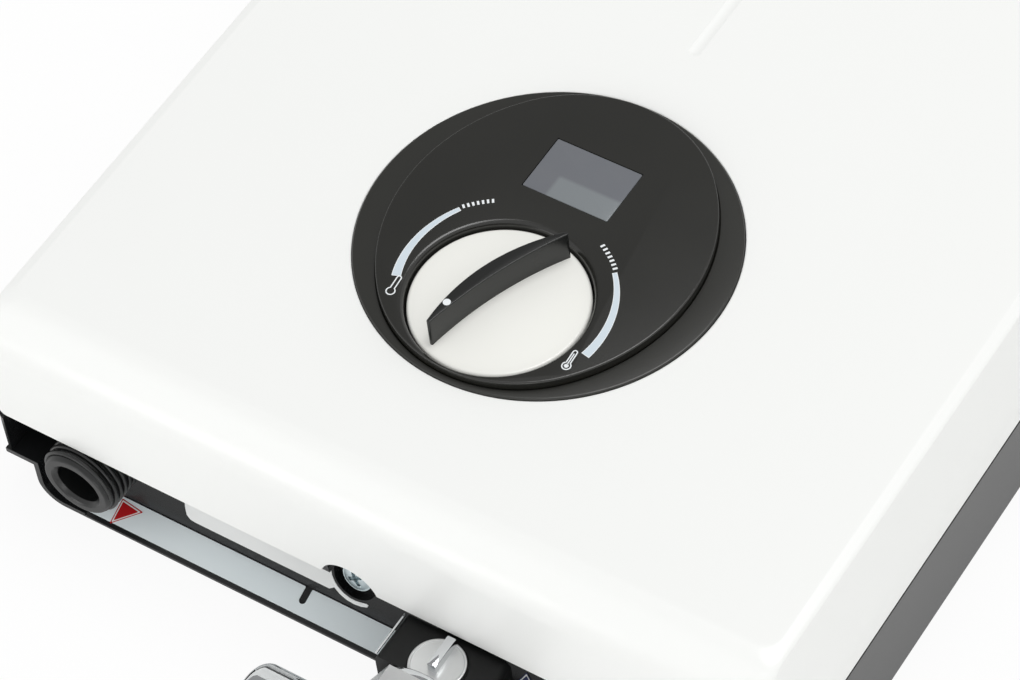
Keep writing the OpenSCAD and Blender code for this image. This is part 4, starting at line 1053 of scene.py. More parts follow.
@dataclass
class Bay:
    """Labels and the screw in the connection bay.

    Attributes:
        rim_y: Lower edge of the ledge.
        rim_z: Height of the ledge at its lower edge.
        ledge_deg: Slope of the ledge.
        face_y: Foot of the rear face at the wall plane.
        face_deg: Slope of the rear face.
        label_x: Left and right end of the silver label.
        label_t: Lower and upper edge of the silver label along the slope.
        label_r: Rounding of the label's left corners, its right corners and the slot's mouth.
        slot_x: Middle of the slot in the silver label.
        slot_w: Width of the slot.
        slot_t: Lower end of the slot along the slope.
        film: Thickness of the films.
        cup: Middle of the screw's cup, sideways and in height.
        cup_r: Radius round the cup that the plate keeps clear of.
        plate_top: Upper left corner of the white plate on the rear face.
        plate_foot: Points down the plate's left end and along its lower edge.
        plate_tail: Distance past the clear radius and direction of the points round the plate's tail.
        plate_end: Right end of the plate's upper edge, from the middle of the cup.
        mark_r: Rounding of the marks' corners.
        mark_layer: Thickness of each layer of the marks.
        mark_line: Outer and inner border of the marks' white line, as shares of the mark.
        hot_mark: Corners of the red mark on the ledge.
        cold_mark: Corners of the blue mark on the rear face.
        screw_edge: Width of the screw's broken edges.
    """

    shop: Workshop
    rim_y: float = -188.0
    rim_z: float = 0.8
    ledge_deg: float = 20.0
    face_y: float = -181.154
    face_deg: float = 74.0
    label_x: Point = (-85.5, 24.0)
    label_t: Point = (1.17, 8.15)
    label_r: Corner = (0.8, 0.4, 0.3)
    slot_x: float = -24.0
    slot_w: float = 1.9
    slot_t: float = 3.9
    film: float = 0.12
    cup: Point = (-11.5, 13.0)
    cup_r: float = 6.9
    plate_top: Point = (-62.6, 24.3)
    plate_foot: tuple[Point, ...] = ((-60.6, 9.2), (-60.1, 7.4), (-59.0, 6.5), (-57.6, 6.3), (-18.5, 6.3))
    plate_tail: tuple[Point, ...] = (
        *((1.2, degrees) for degrees in (226.0, 240.0, 255.0, 270.0, 285.0, 298.0)),
        (0.7, 303.0),
        (0.2, 300.0),
        *((0.0, float(degrees)) for degrees in range(290, 139, -15)),
    )
    plate_end: float = -5.4
    mark_r: float = 0.15
    mark_layer: float = 0.04
    mark_line: Point = (0.88, 0.74)
    hot_mark: tuple[Point, ...] = ((-72.0, 6.8), (-78.7, 7.65), (-78.5, 0.7))
    cold_mark: tuple[Point, ...] = ((36.6, 10.2), (33.4, 4.4), (40.8, 4.6))
    screw_edge: float = 0.12

    def on_ledge(self, x: float, t: float, h: float) -> Vector:
        """Place a point on the sloped ledge.

        Args:
            x: Sideways place.
            t: Distance up the slope from the rim.
            h: Height above the slope.

        Returns:
            The point.
        """
        a = math.radians(self.ledge_deg)
        y = self.rim_y + t * math.cos(a) - h * math.sin(a)
        return Vector((x, y, self.rim_z + t * math.sin(a) + h * math.cos(a)))

    def on_face(self, x: float, z: float, h: float) -> Vector:
        """Place a point on the bay's rear face.

        Args:
            x: Sideways place.
            z: Height above the wall plane.
            h: Height above the face.

        Returns:
            The point.
        """
        a = math.radians(self.face_deg)
        y = self.face_y + z / math.tan(a)
        return Vector((x, y - h * math.sin(a), z + h * math.cos(a)))

    def build(self) -> None:
        """Make the labels and the screw."""
        self.silver_label()
        self.mark("hot_mark", self.hot_mark, Finishes.VINYL_RED, "red_plastic", self.on_ledge)
        self.mark("cold_mark", self.cold_mark, Finishes.VINYL_BLUE, "blue_plastic", self.on_face)
        self.rating_plate()
        screw = self.shop.smooth_copy("hood_screw", "cover_screw", sharp=35.0, edge_mm=self.screw_edge)
        self.shop.file(screw, Finishes.ZINC, "steel", "hood_screw")

    def silver_label(self) -> None:
        """Lay the silver film with its slot on the ledge."""
        (left, right), (low, high) = self.label_x, self.label_t
        left_r, right_r, mouth_r = self.label_r
        r, fit = self.slot_w / 2, 0.98
        round_r = r * fit
        corners: list[Corner] = [
            (left, low, left_r),
            (right, low, right_r),
            (right, high, right_r),
            (self.slot_x + r, high, mouth_r),
            (self.slot_x + r, self.slot_t, round_r),
            (self.slot_x - r, self.slot_t, round_r),
            (self.slot_x - r, high, mouth_r),
            (left, high, left_r),
        ]
        mesh = plate("ledge_label", filleted(corners), self.on_ledge, self.film)
        # The film's pale colour is partly its own silver-grey and partly painted light against the shade
        # under the hood's lip.
        self.shop.file(mesh, Finishes.FILM, "steel")

    def mark(self, name: str, ends: Sequence[Point], finish: Finish, slot: str, on: Placement) -> None:
        """Lay a bare triangular mark with a white border on a face.

        Args:
            name: Start of the pieces' names.
            ends: The three corners on the face.
            finish: Finish of the mark.
            slot: Slot of the mark.
            on: Maps the face's two directions and the height above it into the row frame.
        """
        middle = Vector((sum(p[0] for p in ends) / 3, sum(p[1] for p in ends) / 3))
        layers = (
            ("edge", 1.0, finish, slot),
            ("line", self.mark_line[0], Finishes.VINYL, "marker_white"),
            ("field", self.mark_line[1], finish, slot),
        )
        for number, (part, share, dress, key) in enumerate(layers):
            spots = [middle + (Vector(p) - middle) * share for p in ends]
            outline = filleted([(at.x, at.y, self.mark_r) for at in spots], steps=3)
            place = raised(on, self.film + self.mark_layer * number)
            self.shop.file(plate(f"{name}_{part}", outline, place, self.mark_layer), dress, key)

    def rating_plate(self) -> None:
        """Lay the bare white plate on the rear face, with its tail round the screw's cup."""
        cx, cz = self.cup
        squeeze = math.sin(math.radians(self.face_deg))
        outline = [self.plate_top, *self.plate_foot]
        for past, degrees in self.plate_tail:
            a, radius = math.radians(degrees), self.cup_r + past
            outline.append((cx + radius * math.cos(a), cz + radius * math.sin(a) * squeeze))
        outline.append((cx + self.plate_end, self.plate_top[1]))
        mesh = plate("rating_plate", outline, self.on_face, self.film)
        self.shop.file(mesh, Finishes.VINYL, "marker_white")


@dataclass
class Dial:
    """Round dial with the oval plate, the display and the printed scale.

    Attributes:
        centre_y: Place of the dial's centre.
        knob_y: Place of the knob's axis.
        radius: Radius of the dial.
        bore_r: Radius of the dial's bore.
        foot_z: Foot of the dial's ring.
        flange_r: Radius of the flange behind the hood.
        flange_z: Heights of the flange.
        face_z: Height of the dial's face.
        edge: Rounding of the dial's edge.
        oval: Half width and half length of the oval plate.
        oval_end_r: End radius of the oval plate.
        pocket: Inset from the plate and depth below the face of the edge of the plate's pocket.
        plate_z: Height of the oval plate's face.
        plate_rim: Rounding of the oval plate's rim.
        seat_z: Height of the oval plate's seat.
        seat_w: Width of the oval plate's seat.
        skirt: Inset of the oval plate's skirt and its depth below the recess.
        recess_r: Radius of the knob's recess.
        recess_z: Floor of the knob's recess.
        recess_edge: Radius of the recess's rolled edge.
        cup_wall: Wall of the cup round the recess.
        display: Lower left and upper right corner of the display.
        display_gap: Gap round the display's window.
        display_depth: Depth of the display's pocket in the plate.
        pane: Inset and height below its face of the window's edge, from its foot.
        pane_r: Rounding of the window's corners.
        pane_set: Depth of the window's face below the plate's.
        ink_t: Thickness of the print.
        ink_gap: Height of the print's foot over the plate.
        arcs: Name of each arc of the scale, with direction and distance of its ends from the knob's axis.
        arc_w: Width of the arcs at their start and how much they lose.
        dash: Width and length of a dash of the scale.
        dash_rows: Name of each row of dashes, with the directions and the distance of its ends.
        thermometers: Name of each thermometer, with its bulb and its tip, and whether it is filled.
        steps: Points round each outline.
    """

    shop: Workshop
    centre_y: float = -103.0
    knob_y: float = -124.1
    radius: float = 46.0
    bore_r: float = 44.8
    foot_z: float = 59.0
    flange_r: float = 48.5
    flange_z: Point = (60.5, 62.4)
    face_z: float = 65.4
    edge: float = 0.5
    oval: Point = (38.6, 44.3)
    oval_end_r: float = 35.0
    pocket: tuple[Point, Point] = ((-0.35, 0.0), (-0.12, 0.2))
    plate_z: float = 67.7
    plate_rim: float = 0.45
    seat_z: float = 64.4
    seat_w: float = 1.0
    skirt: Point = (0.6, 1.8)
    recess_r: float = 22.1
    recess_z: float = 60.3
    recess_edge: float = 1.4
    cup_wall: float = 1.4
    display: tuple[Point, Point] = ((-13.2, -92.95), (10.2, -76.85))
    display_gap: float = 0.12
    display_depth: float = 1.4
    pane: tuple[Point, ...] = ((0.0, -1.3), (0.0, -0.2), (0.06, -0.06), (0.2, 0.0))
    pane_r: float = 0.3
    pane_set: float = 0.05
    ink_t: float = 0.03
    ink_gap: float = 0.01
    arcs: tuple[tuple[str, Point, Point], ...] = (
        ("cold", (194.0, 25.1), (141.0, 28.4)),
        ("hot", (-10.0, 26.7), (44.0, 27.4)),
    )
    arc_w: Point = (2.3, 1.1)
    dash: Point = (0.55, 1.15)
    dash_rows: tuple[tuple[str, float, float, float], ...] = (
        ("cold", 139.0, 125.0, 28.85),
        ("hot", 46.4, 61.8, 27.8),
    )
    thermometers: tuple[tuple[str, Point, Point, bool], ...] = (
        ("cold", (-155.6, 25.3), (-165.0, 24.2), False),
        ("hot", (-20.9, 25.8), (-11.8, 24.4), True),
    )
    steps: int = 240

    def oval_ring(self, inset: float, z: float) -> list[Vector]:
        """Return the oval outline drawn in by an inset.

        Args:
            inset: Distance inside the plate's outline.
            z: Height.

        Returns:
            Points at even angles about the dial's centre.
        """
        w, l, end = self.oval[0] - inset, self.oval[1] - inset, self.oval_end_r - inset
        c = l - end
        side = (w * w + c * c - end * end) / (2 * (w - end))
        ring = []
        for x, y in arc((0.0, 0.0), 1.0, 0.0, 360.0, self.steps)[:-1]:
            cy = math.copysign(c, y)
            far = y * cy + math.sqrt(max((y * cy) ** 2 - c * c + end * end, 0.0))
            cx = -math.copysign(side - w, x)
            near = x * cx + math.sqrt((x * cx) ** 2 - cx * cx + side * side)
            join = abs(far * y) > side * c / math.hypot(c, side - w)
            r = far if join else near
            ring.append(Vector((r * x, self.centre_y + r * y, z)))
        return ring

    def circle_ring(self, r: float, z: float, y: float | None = None) -> list[Vector]:
        """Return a circle about the dial's centre, or about another place along Y."""
        middle = (0.0, self.centre_y if y is None else y)
        return [Vector((*at, z)) for at in arc(middle, r, 0.0, 360.0, self.steps)[:-1]]

    def build(self) -> None:
        """Make the dial's pieces."""
        self.bezel()
        self.fascia()
        self.window()
        self.scale()
        self.shop.paint(Finishes.GREY, "lcd_module", "ribbon_cable")
        self.shop.paint(Finishes.BOARD, "control_board")
        self.shop.paint(Finishes.STEEL, "board_screws")
        self.shop.paint(Finishes.DARK, "pot_body")

    def bezel(self) -> None:
        """Make the round dial with its rounded edge and the pocket for the plate."""
        r, z, edge = self.radius, self.face_z, self.edge
        low, high = self.flange_z
        section = [(self.bore_r, self.foot_z), (r, self.foot_z), (r, low), (self.flange_r, low)]
        section += [(self.flange_r, high), (r, high), *arc((r - edge, z - edge), edge, 0.0, 90.0, steps=5)]
        pocket = [(inset, z - depth) for inset, depth in self.pocket]
        pocket += [(pocket[-1][0], self.seat_z), (self.seat_w, self.seat_z), (self.seat_w, high)]
        rings = [self.circle_ring(*at) for at in section] + [self.oval_ring(*at) for at in pocket]
        rings.append(self.circle_ring(self.bore_r, high))
        self.shop.file(lofted("dial_ring", rings, True), Finishes.BEZEL, "black_satin", "dial_bezel")

    def fascia(self) -> None:
        """Make the oval plate with its rounded rim, the knob's recess and the display's pocket."""
        z, rim, (inset, depth) = self.plate_z, self.plate_rim, self.skirt
        section = [(inset, self.recess_z - depth), (inset, self.seat_z), (0.0, self.seat_z)]
        section += [(-out, h) for out, h in arc((-rim, z - rim), rim, 0.0, 90.0, steps=5)]
        body = lofted("fascia_oval", [self.oval_ring(*at) for at in section])
        r, edge, over = self.recess_r, self.recess_edge, 2.0
        roll = arc((r + edge, z - edge), edge, 180.0, -90.0, steps=7)
        profile = to_axis([(r, self.recess_z), *roll, (r + edge, z + over)])
        recess = turned("recess_tool", profile, Axis.Z, (0.0, self.knob_y, 0.0), steps=180)
        window = filleted(rectangle(*self.display, -self.display_gap))
        pocket = plate("pocket_tool", window, level(z - self.display_depth), self.display_depth + over)
        mesh = cut(body, [recess, pocket, self.under_tool()])
        self.shop.file(mesh, Finishes.FASCIA, "black_satin", "fascia_plate")

    def under_tool(self) -> Mesh:
        """Make the space under the plate, outside the knob's cup.

        Returns:
            The mesh.
        """
        low, far_r, cup_r = 50.0, 60.0, self.recess_r + self.cup_wall
        rings = [self.circle_ring(far_r, z) for z in (low, self.seat_z)]
        rings += [self.circle_ring(cup_r, z, self.knob_y) for z in (self.seat_z, low)]
        return lofted("under_tool", rings, True)

    def window(self) -> None:
        """Make the display's window with softly broken edges."""
        pane = stacked(
            "display_pane",
            lambda inset: filleted(rectangle(*self.display, inset, self.pane_r), steps=4),
            self.pane,
            level(self.plate_z - self.pane_set),
        )
        self.shop.file(pane, Finishes.DISPLAY, "display_grey", "display_window")

    def polar(self, degrees: float, radius: float) -> Point:
        """Return a point of the plate by its direction and distance from the knob's axis."""
        a = math.radians(degrees)
        return radius * math.cos(a), self.knob_y + radius * math.sin(a)

    def ink(self, x: float, y: float, h: float) -> Vector:
        """Place a point of the print just above the plate."""
        return Vector((x, y, self.plate_z + self.ink_gap + h))

    def print_white(self, mesh: Mesh) -> None:
        """File a piece of the white print."""
        self.shop.file(mesh, Finishes.INK_WHITE, "marker_white")

    def scale(self) -> None:
        """Print the two arcs, their dashes and the two thermometers."""
        count, border = 40, 0.34
        wide, loss = self.arc_w
        for name, (a0, r0), (a1, r1) in self.arcs:
            for layer, trim, finish, thick in (
                ("edge", 0.0, Finishes.INK_WHITE, self.ink_t / 2),
                ("fill", border, Finishes.INK_BLUE, self.ink_t),
            ):
                end = math.copysign(math.degrees(trim / 2 / r0), a1 - a0)
                shares = [k / count for k in range(count + 1)]
                path = [self.polar(a0 + end + (a1 - a0 - 2 * end) * s, r0 + (r1 - r0) * s) for s in shares]
                left, right = ribbon(path, [wide - loss * s - trim for s in shares])
                mesh = plate(f"scale_{name}_{layer}", left + right[::-1], self.ink, thick)
                self.shop.file(mesh, finish, "marker_white")
        for name, first, last, radius in self.dash_rows:
            self.dashes(f"scale_{name}_dashes", first, last, radius)
        for name, bulb, tip, filled in self.thermometers:
            self.thermometer(name, self.polar(*bulb), self.polar(*tip), filled)

    def dashes(self, name: str, first: float, last: float, radius: float) -> None:
        """Print a row of dashes that follows the scale.

        Args:
            name: Name of the piece.
            first: Direction of the first dash, in degrees.
            last: Direction of the last dash.
            radius: Distance from the knob's axis.
        """
        sizes = {
            "Count": 7,
            "Radius": radius * MM,
            "Start": math.radians(first),
            "Sweep": math.radians(last - first),
            "Dash Width": self.dash[0] * MM,
            "Dash Length": self.dash[1] * MM,
        }
        tool = NodeTool(name, sizes)
        tree, size = tool.tree, tool.entry.outputs
        bend = {
            "Resolution": 64,
            "Radius": size["Radius"],
            "Start Angle": size["Start"],
            "Sweep Angle": size["Sweep"],
        }
        path = add_node(tree, "GeometryNodeCurveArc", bend, mode="RADIUS")
        spread = {"Curve": path.outputs[0], "Count": size["Count"]}
        spots = add_node(tree, "GeometryNodeCurveToPoints", spread, mode="COUNT")
        way = {"Vector": spots.outputs["Tangent"]}
        turn = add_node(tree, "FunctionNodeAlignRotationToVector", way, axis="X", pivot_axis="Z")
        sides = {"X": size["Dash Width"], "Y": size["Dash Length"], "Z": self.ink_t * MM}
        block = add_node(tree, "ShaderNodeCombineXYZ", sides)
        dash = add_node(tree, "GeometryNodeMeshCube", {"Size": block.outputs[0]})
        row = {"Points": spots.outputs[0], "Instance": dash.outputs[0], "Rotation": turn.outputs[0]}
        laid = add_node(tree, "GeometryNodeInstanceOnPoints", row)
        middle = self.ink(0.0, self.knob_y, self.ink_t / 2) * MM
        on_plate = {"Geometry": laid.outputs[0], "Translation": middle}
        placed = add_node(tree, "GeometryNodeTransform", on_plate)
        self.print_white(tool.run(placed.outputs[0], Finishes.INK_WHITE, sharp=40.0))

    def thermometer(self, name: str, bulb: Point, tip: Point, filled: bool) -> None:
        """Print a thermometer outline, filled for the hot end.

        Args:
            name: Which end of the scale.
            bulb: Middle of the bulb.
            tip: Middle of the stem's round end.
            filled: Whether the bulb and the stem hold a filling.
        """
        bulb_r, stem_r, line = 1.05, 0.52, 0.3
        fill_r, fill_w, fill_gap = 0.55, 0.14, 0.4
        axis = Vector((tip[0] - bulb[0], tip[1] - bulb[1]))
        length = axis.length
        axis.normalize()
        side = Vector((axis.y, -axis.x))

        def spots(points: Iterable[Point]) -> list[Point]:
            """Place points that are given by their distance along and across the stem."""
            return [tuple(Vector(bulb) + axis * along + side * across) for along, across in points]

        neck = math.degrees(math.asin(stem_r / bulb_r))
        path = arc((0.0, 0.0), bulb_r, neck, 360.0 - 2 * neck, steps=24)
        path += arc((length, 0.0), stem_r, -90.0, 180.0, steps=10)
        outer, inner = ribbon(spots(path), [line] * len(path), loop=True)
        section = ((outer, 0.0), (outer, self.ink_t), (inner, self.ink_t), (inner, 0.0))
        rings = [[self.ink(x, y, h) for x, y in border] for border, h in section]
        self.print_white(lofted(f"thermometer_{name}", rings, True))
        if filled:
            blob = arc((0.0, 0.0), fill_r, 0.0, 360.0, steps=24)[:-1]
            self.print_white(plate("thermometer_bulb", spots(blob), self.ink, self.ink_t))
            stem = filleted(rectangle((fill_gap, -fill_w), (length - fill_gap, fill_w)))
            self.print_white(plate("thermometer_stem", spots(stem), self.ink, self.ink_t))


@dataclass
class Knob:
    """Cream disc with its crescent grip and the white dot.

    Attributes:
        axis_y: Place of the knob's axis.
        radius: Radius of the disc.
        rim_z: Height of the disc's rim.
        crown: Rise of the disc's middle above the rim.
        base_z: Lower edge of the disc's skirt.
        edge: Rounding of the disc's rim.
        wall: Thickness of the disc's skirt.
        under_z: Height of the disc's hollow underside.
        boss: Radius of the shaft's boss and of its bore.
        bore_z: Upper end of the shaft's bore.
        pointer_deg: Direction of the grip's pointer.
        tail: Length of the grip's pointer half.
        tip: Length of the grip's other half.
        bulge: Rise of the outer side past its ends.
        hollow: Rise of the inner side past its ends.
        end_w: Width at the ends.
        grip_set: Distance of the inner side's ends behind the axis.
        grip_z: Foot and top of the grip.
        grip_edge: Inset and height below the top of the grip's broken edge.
        dot_at: Distance of the dot from the axis.
        dot_edge: Radius and height over the grip's top of the dot's side, from its foot.
    """

    shop: Workshop
    axis_y: float = -124.1
    radius: float = 21.6
    rim_z: float = 66.2
    crown: float = 1.0
    base_z: float = 61.3
    edge: float = 0.9
    wall: float = 1.8
    under_z: float = 63.6
    boss: Point = (6.0, 3.05)
    bore_z: float = 64.4
    pointer_deg: float = 249.0
    tail: float = 19.5
    tip: float = 20.6
    bulge: float = 4.3
    hollow: float = 1.6
    end_w: float = 1.0
    grip_set: float = 0.5
    grip_z: Point = (65.4, 75.0)
    grip_edge: tuple[Point, ...] = ((0.0, -0.32), (0.05, -0.14), (0.15, -0.03), (0.3, 0.0))
    dot_at: float = 12.8
    dot_edge: tuple[Point, ...] = ((0.95, -0.9), (0.95, 0.02), (0.85, 0.09), (0.5, 0.1))

    def build(self) -> None:
        """Make the knob's pieces."""
        self.disc()
        self.grip()
        self.dot()
        self.shop.paint(Finishes.IVORY, "pot_shaft")

    def disc(self) -> None:
        """Turn the crowned disc with its rounded rim and hollow underside."""
        big = (self.radius**2 + self.crown**2) / (2 * self.crown)
        flat, steps = self.radius - self.edge, 16
        profile: list[Point] = []
        for k in range(steps + 1):
            r = flat * k / steps
            profile.append((r, self.rim_z + self.crown - big + math.sqrt(big * big - r * r)))
        profile += arc((flat, profile[-1][1] - self.edge), self.edge, 90.0, -90.0, steps=7)[1:]
        boss_r, bore_r = self.boss
        inner = self.radius - self.wall
        profile += [(self.radius, self.base_z), (inner, self.base_z), (inner, self.under_z)]
        profile += [(boss_r, self.under_z), (boss_r, self.base_z), (bore_r, self.base_z)]
        profile += [(bore_r, self.bore_z), (0.0, self.bore_z)]
        mesh = turned("knob_cap", profile, Axis.Z, (0.0, self.axis_y, 0.0), steps=160)
        self.shop.file(mesh, Finishes.CREAM, "cream_gloss", "knob_disc", body=Body.KNOB)

    def grip_place(self, u: float, n: float, z: float) -> Vector:
        """Place a point by its distance along and across the grip."""
        a = math.radians(self.pointer_deg - 180)
        return Vector((u * math.cos(a) - n * math.sin(a), self.axis_y + u * math.sin(a) + n * math.cos(a), z))

    def sides(self, share: float) -> tuple[float, float]:
        """Return the grip's inner and outer side at a share of its half length."""
        fall = 1 - share * share
        return self.hollow * fall - self.grip_set, self.bulge * fall + self.end_w - self.grip_set

    def grip_outline(self, inset: float) -> list[Point]:
        """Draw the grip's outline with rounded ends.

        Args:
            inset: Distance inside the grip's foot.

        Returns:
            The points along and across the grip.
        """
        count, most_r, least_r, fit = 48, 0.4, 0.02, 0.9
        half = (self.tail + self.tip) / 2
        inner, outer = [], []
        for k in range(count + 1):
            share = -1 + 2 * k / count
            low, high = self.sides(share)
            u = half - self.tail + share * (half - inset)
            inner.append((u, low + inset, 0.0))
            outer.append((u, high - inset, 0.0))
        corners = inner + outer[::-1]
        end_r = max(min(self.end_w / 2 - inset, most_r) * fit, least_r)
        for i in (0, count, count + 1, 2 * count + 1):
            corners[i] = (corners[i][0], corners[i][1], end_r)
        return filleted(corners, steps=4)

    def grip(self) -> None:
        """Loft the crescent grip with softly broken upper edges."""
        foot, top = self.grip_z
        levels = [(0.0, foot)] + [(inset, top + h) for inset, h in self.grip_edge]
        mesh = stacked("knob_blade", self.grip_outline, levels, self.grip_place)
        self.shop.file(mesh, Finishes.GRIP, "black_grip", "knob_grip", body=Body.KNOB)

    def dot(self) -> None:
        """Make the low white dot near the grip's pointer end."""
        half = (self.tail + self.tip) / 2
        low, high = self.sides((self.dot_at + half - self.tail) / half)
        at = self.grip_place(-self.dot_at, (low + high) / 2, 0.0)
        profile = to_axis([(r, self.grip_z[1] + h) for r, h in self.dot_edge])
        mesh = turned("knob_dot", profile, Axis.Z, (at.x, at.y, 0.0), steps=48)
        self.shop.file(mesh, Finishes.INK_WHITE, "marker_white", "knob_marker", body=Body.KNOB)


@dataclass
class Outlet:
    """Black threaded stub of the hot outlet.

    Attributes:
        x: Sideways place.
        z: Height above the wall.
        face_y: Place of the stub's end face.
        crest_r: Radius over the thread.
        thread_depth: Depth of the thread.
        thread_set: Distance of the thread from the end face.
        thread_l: Length of the thread.
        bore_r: Radius of the bore.
        mouth: Widening of the bore, distance from the end face and rounding, along the mouth.
        nose: Depth and length of the slope round the end face.
        nose_r: Rounding at the two ends of that slope.
        flange_y: Start and end of the inner flange.
        flange_r: Radius of the inner flange.
        flange_edge: Rounding of the flange's foot and of its edges.
    """

    shop: Workshop
    x: float = -82.5
    z: float = 18.4
    face_y: float = -191.2
    crest_r: float = 10.4775
    thread_depth: float = 0.95
    thread_set: float = 1.3
    thread_l: float = 16.0
    bore_r: float = 6.0
    mouth: tuple[Corner, ...] = ((0.0, 1.1, 0.2), (0.75, 0.3, 0.2), (1.15, 0.0, 0.15))
    nose: Point = (0.55, 1.1)
    nose_r: Point = (0.6, 0.4)
    flange_y: Point = (-166.5, -161.5)
    flange_r: float = 13.5
    flange_edge: Point = (0.3, 0.4)

    def build(self) -> None:
        """Make the stub and its thread, and dress the outlet side."""
        root = self.crest_r - self.thread_depth
        face, (low, high) = self.face_y, self.flange_y
        corners: list[Corner] = [(self.bore_r, high, 0.0)]
        corners += [(self.bore_r + wide, face + deep, r) for wide, deep, r in self.mouth]
        (deep, long), (end_r, side_r), (foot_r, edge) = self.nose, self.nose_r, self.flange_edge
        corners += [(root - deep, face, end_r), (root, face + long, side_r), (root, low, foot_r)]
        corners += [(self.flange_r, low, edge), (self.flange_r, high, edge)]
        core = turned("outlet_core", filleted(corners), Axis.Y, (self.x, 0.0, self.z), steps=128)
        self.shop.file(core, Finishes.NYLON, "black_satin", "outlet_stub")
        start = (self.x, face + self.thread_set, self.z)
        ridge = Thread("outlet_thread", start, self.crest_r, self.thread_l)
        self.shop.file(ridge.mesh(Finishes.NYLON), Finishes.NYLON, "black_satin")
        self.shop.paint(Finishes.COPPER, "outlet_pipe", "inlet_pipe")
        self.shop.paint(Finishes.BRASS, "outlet_sensor", "inlet_sensor")


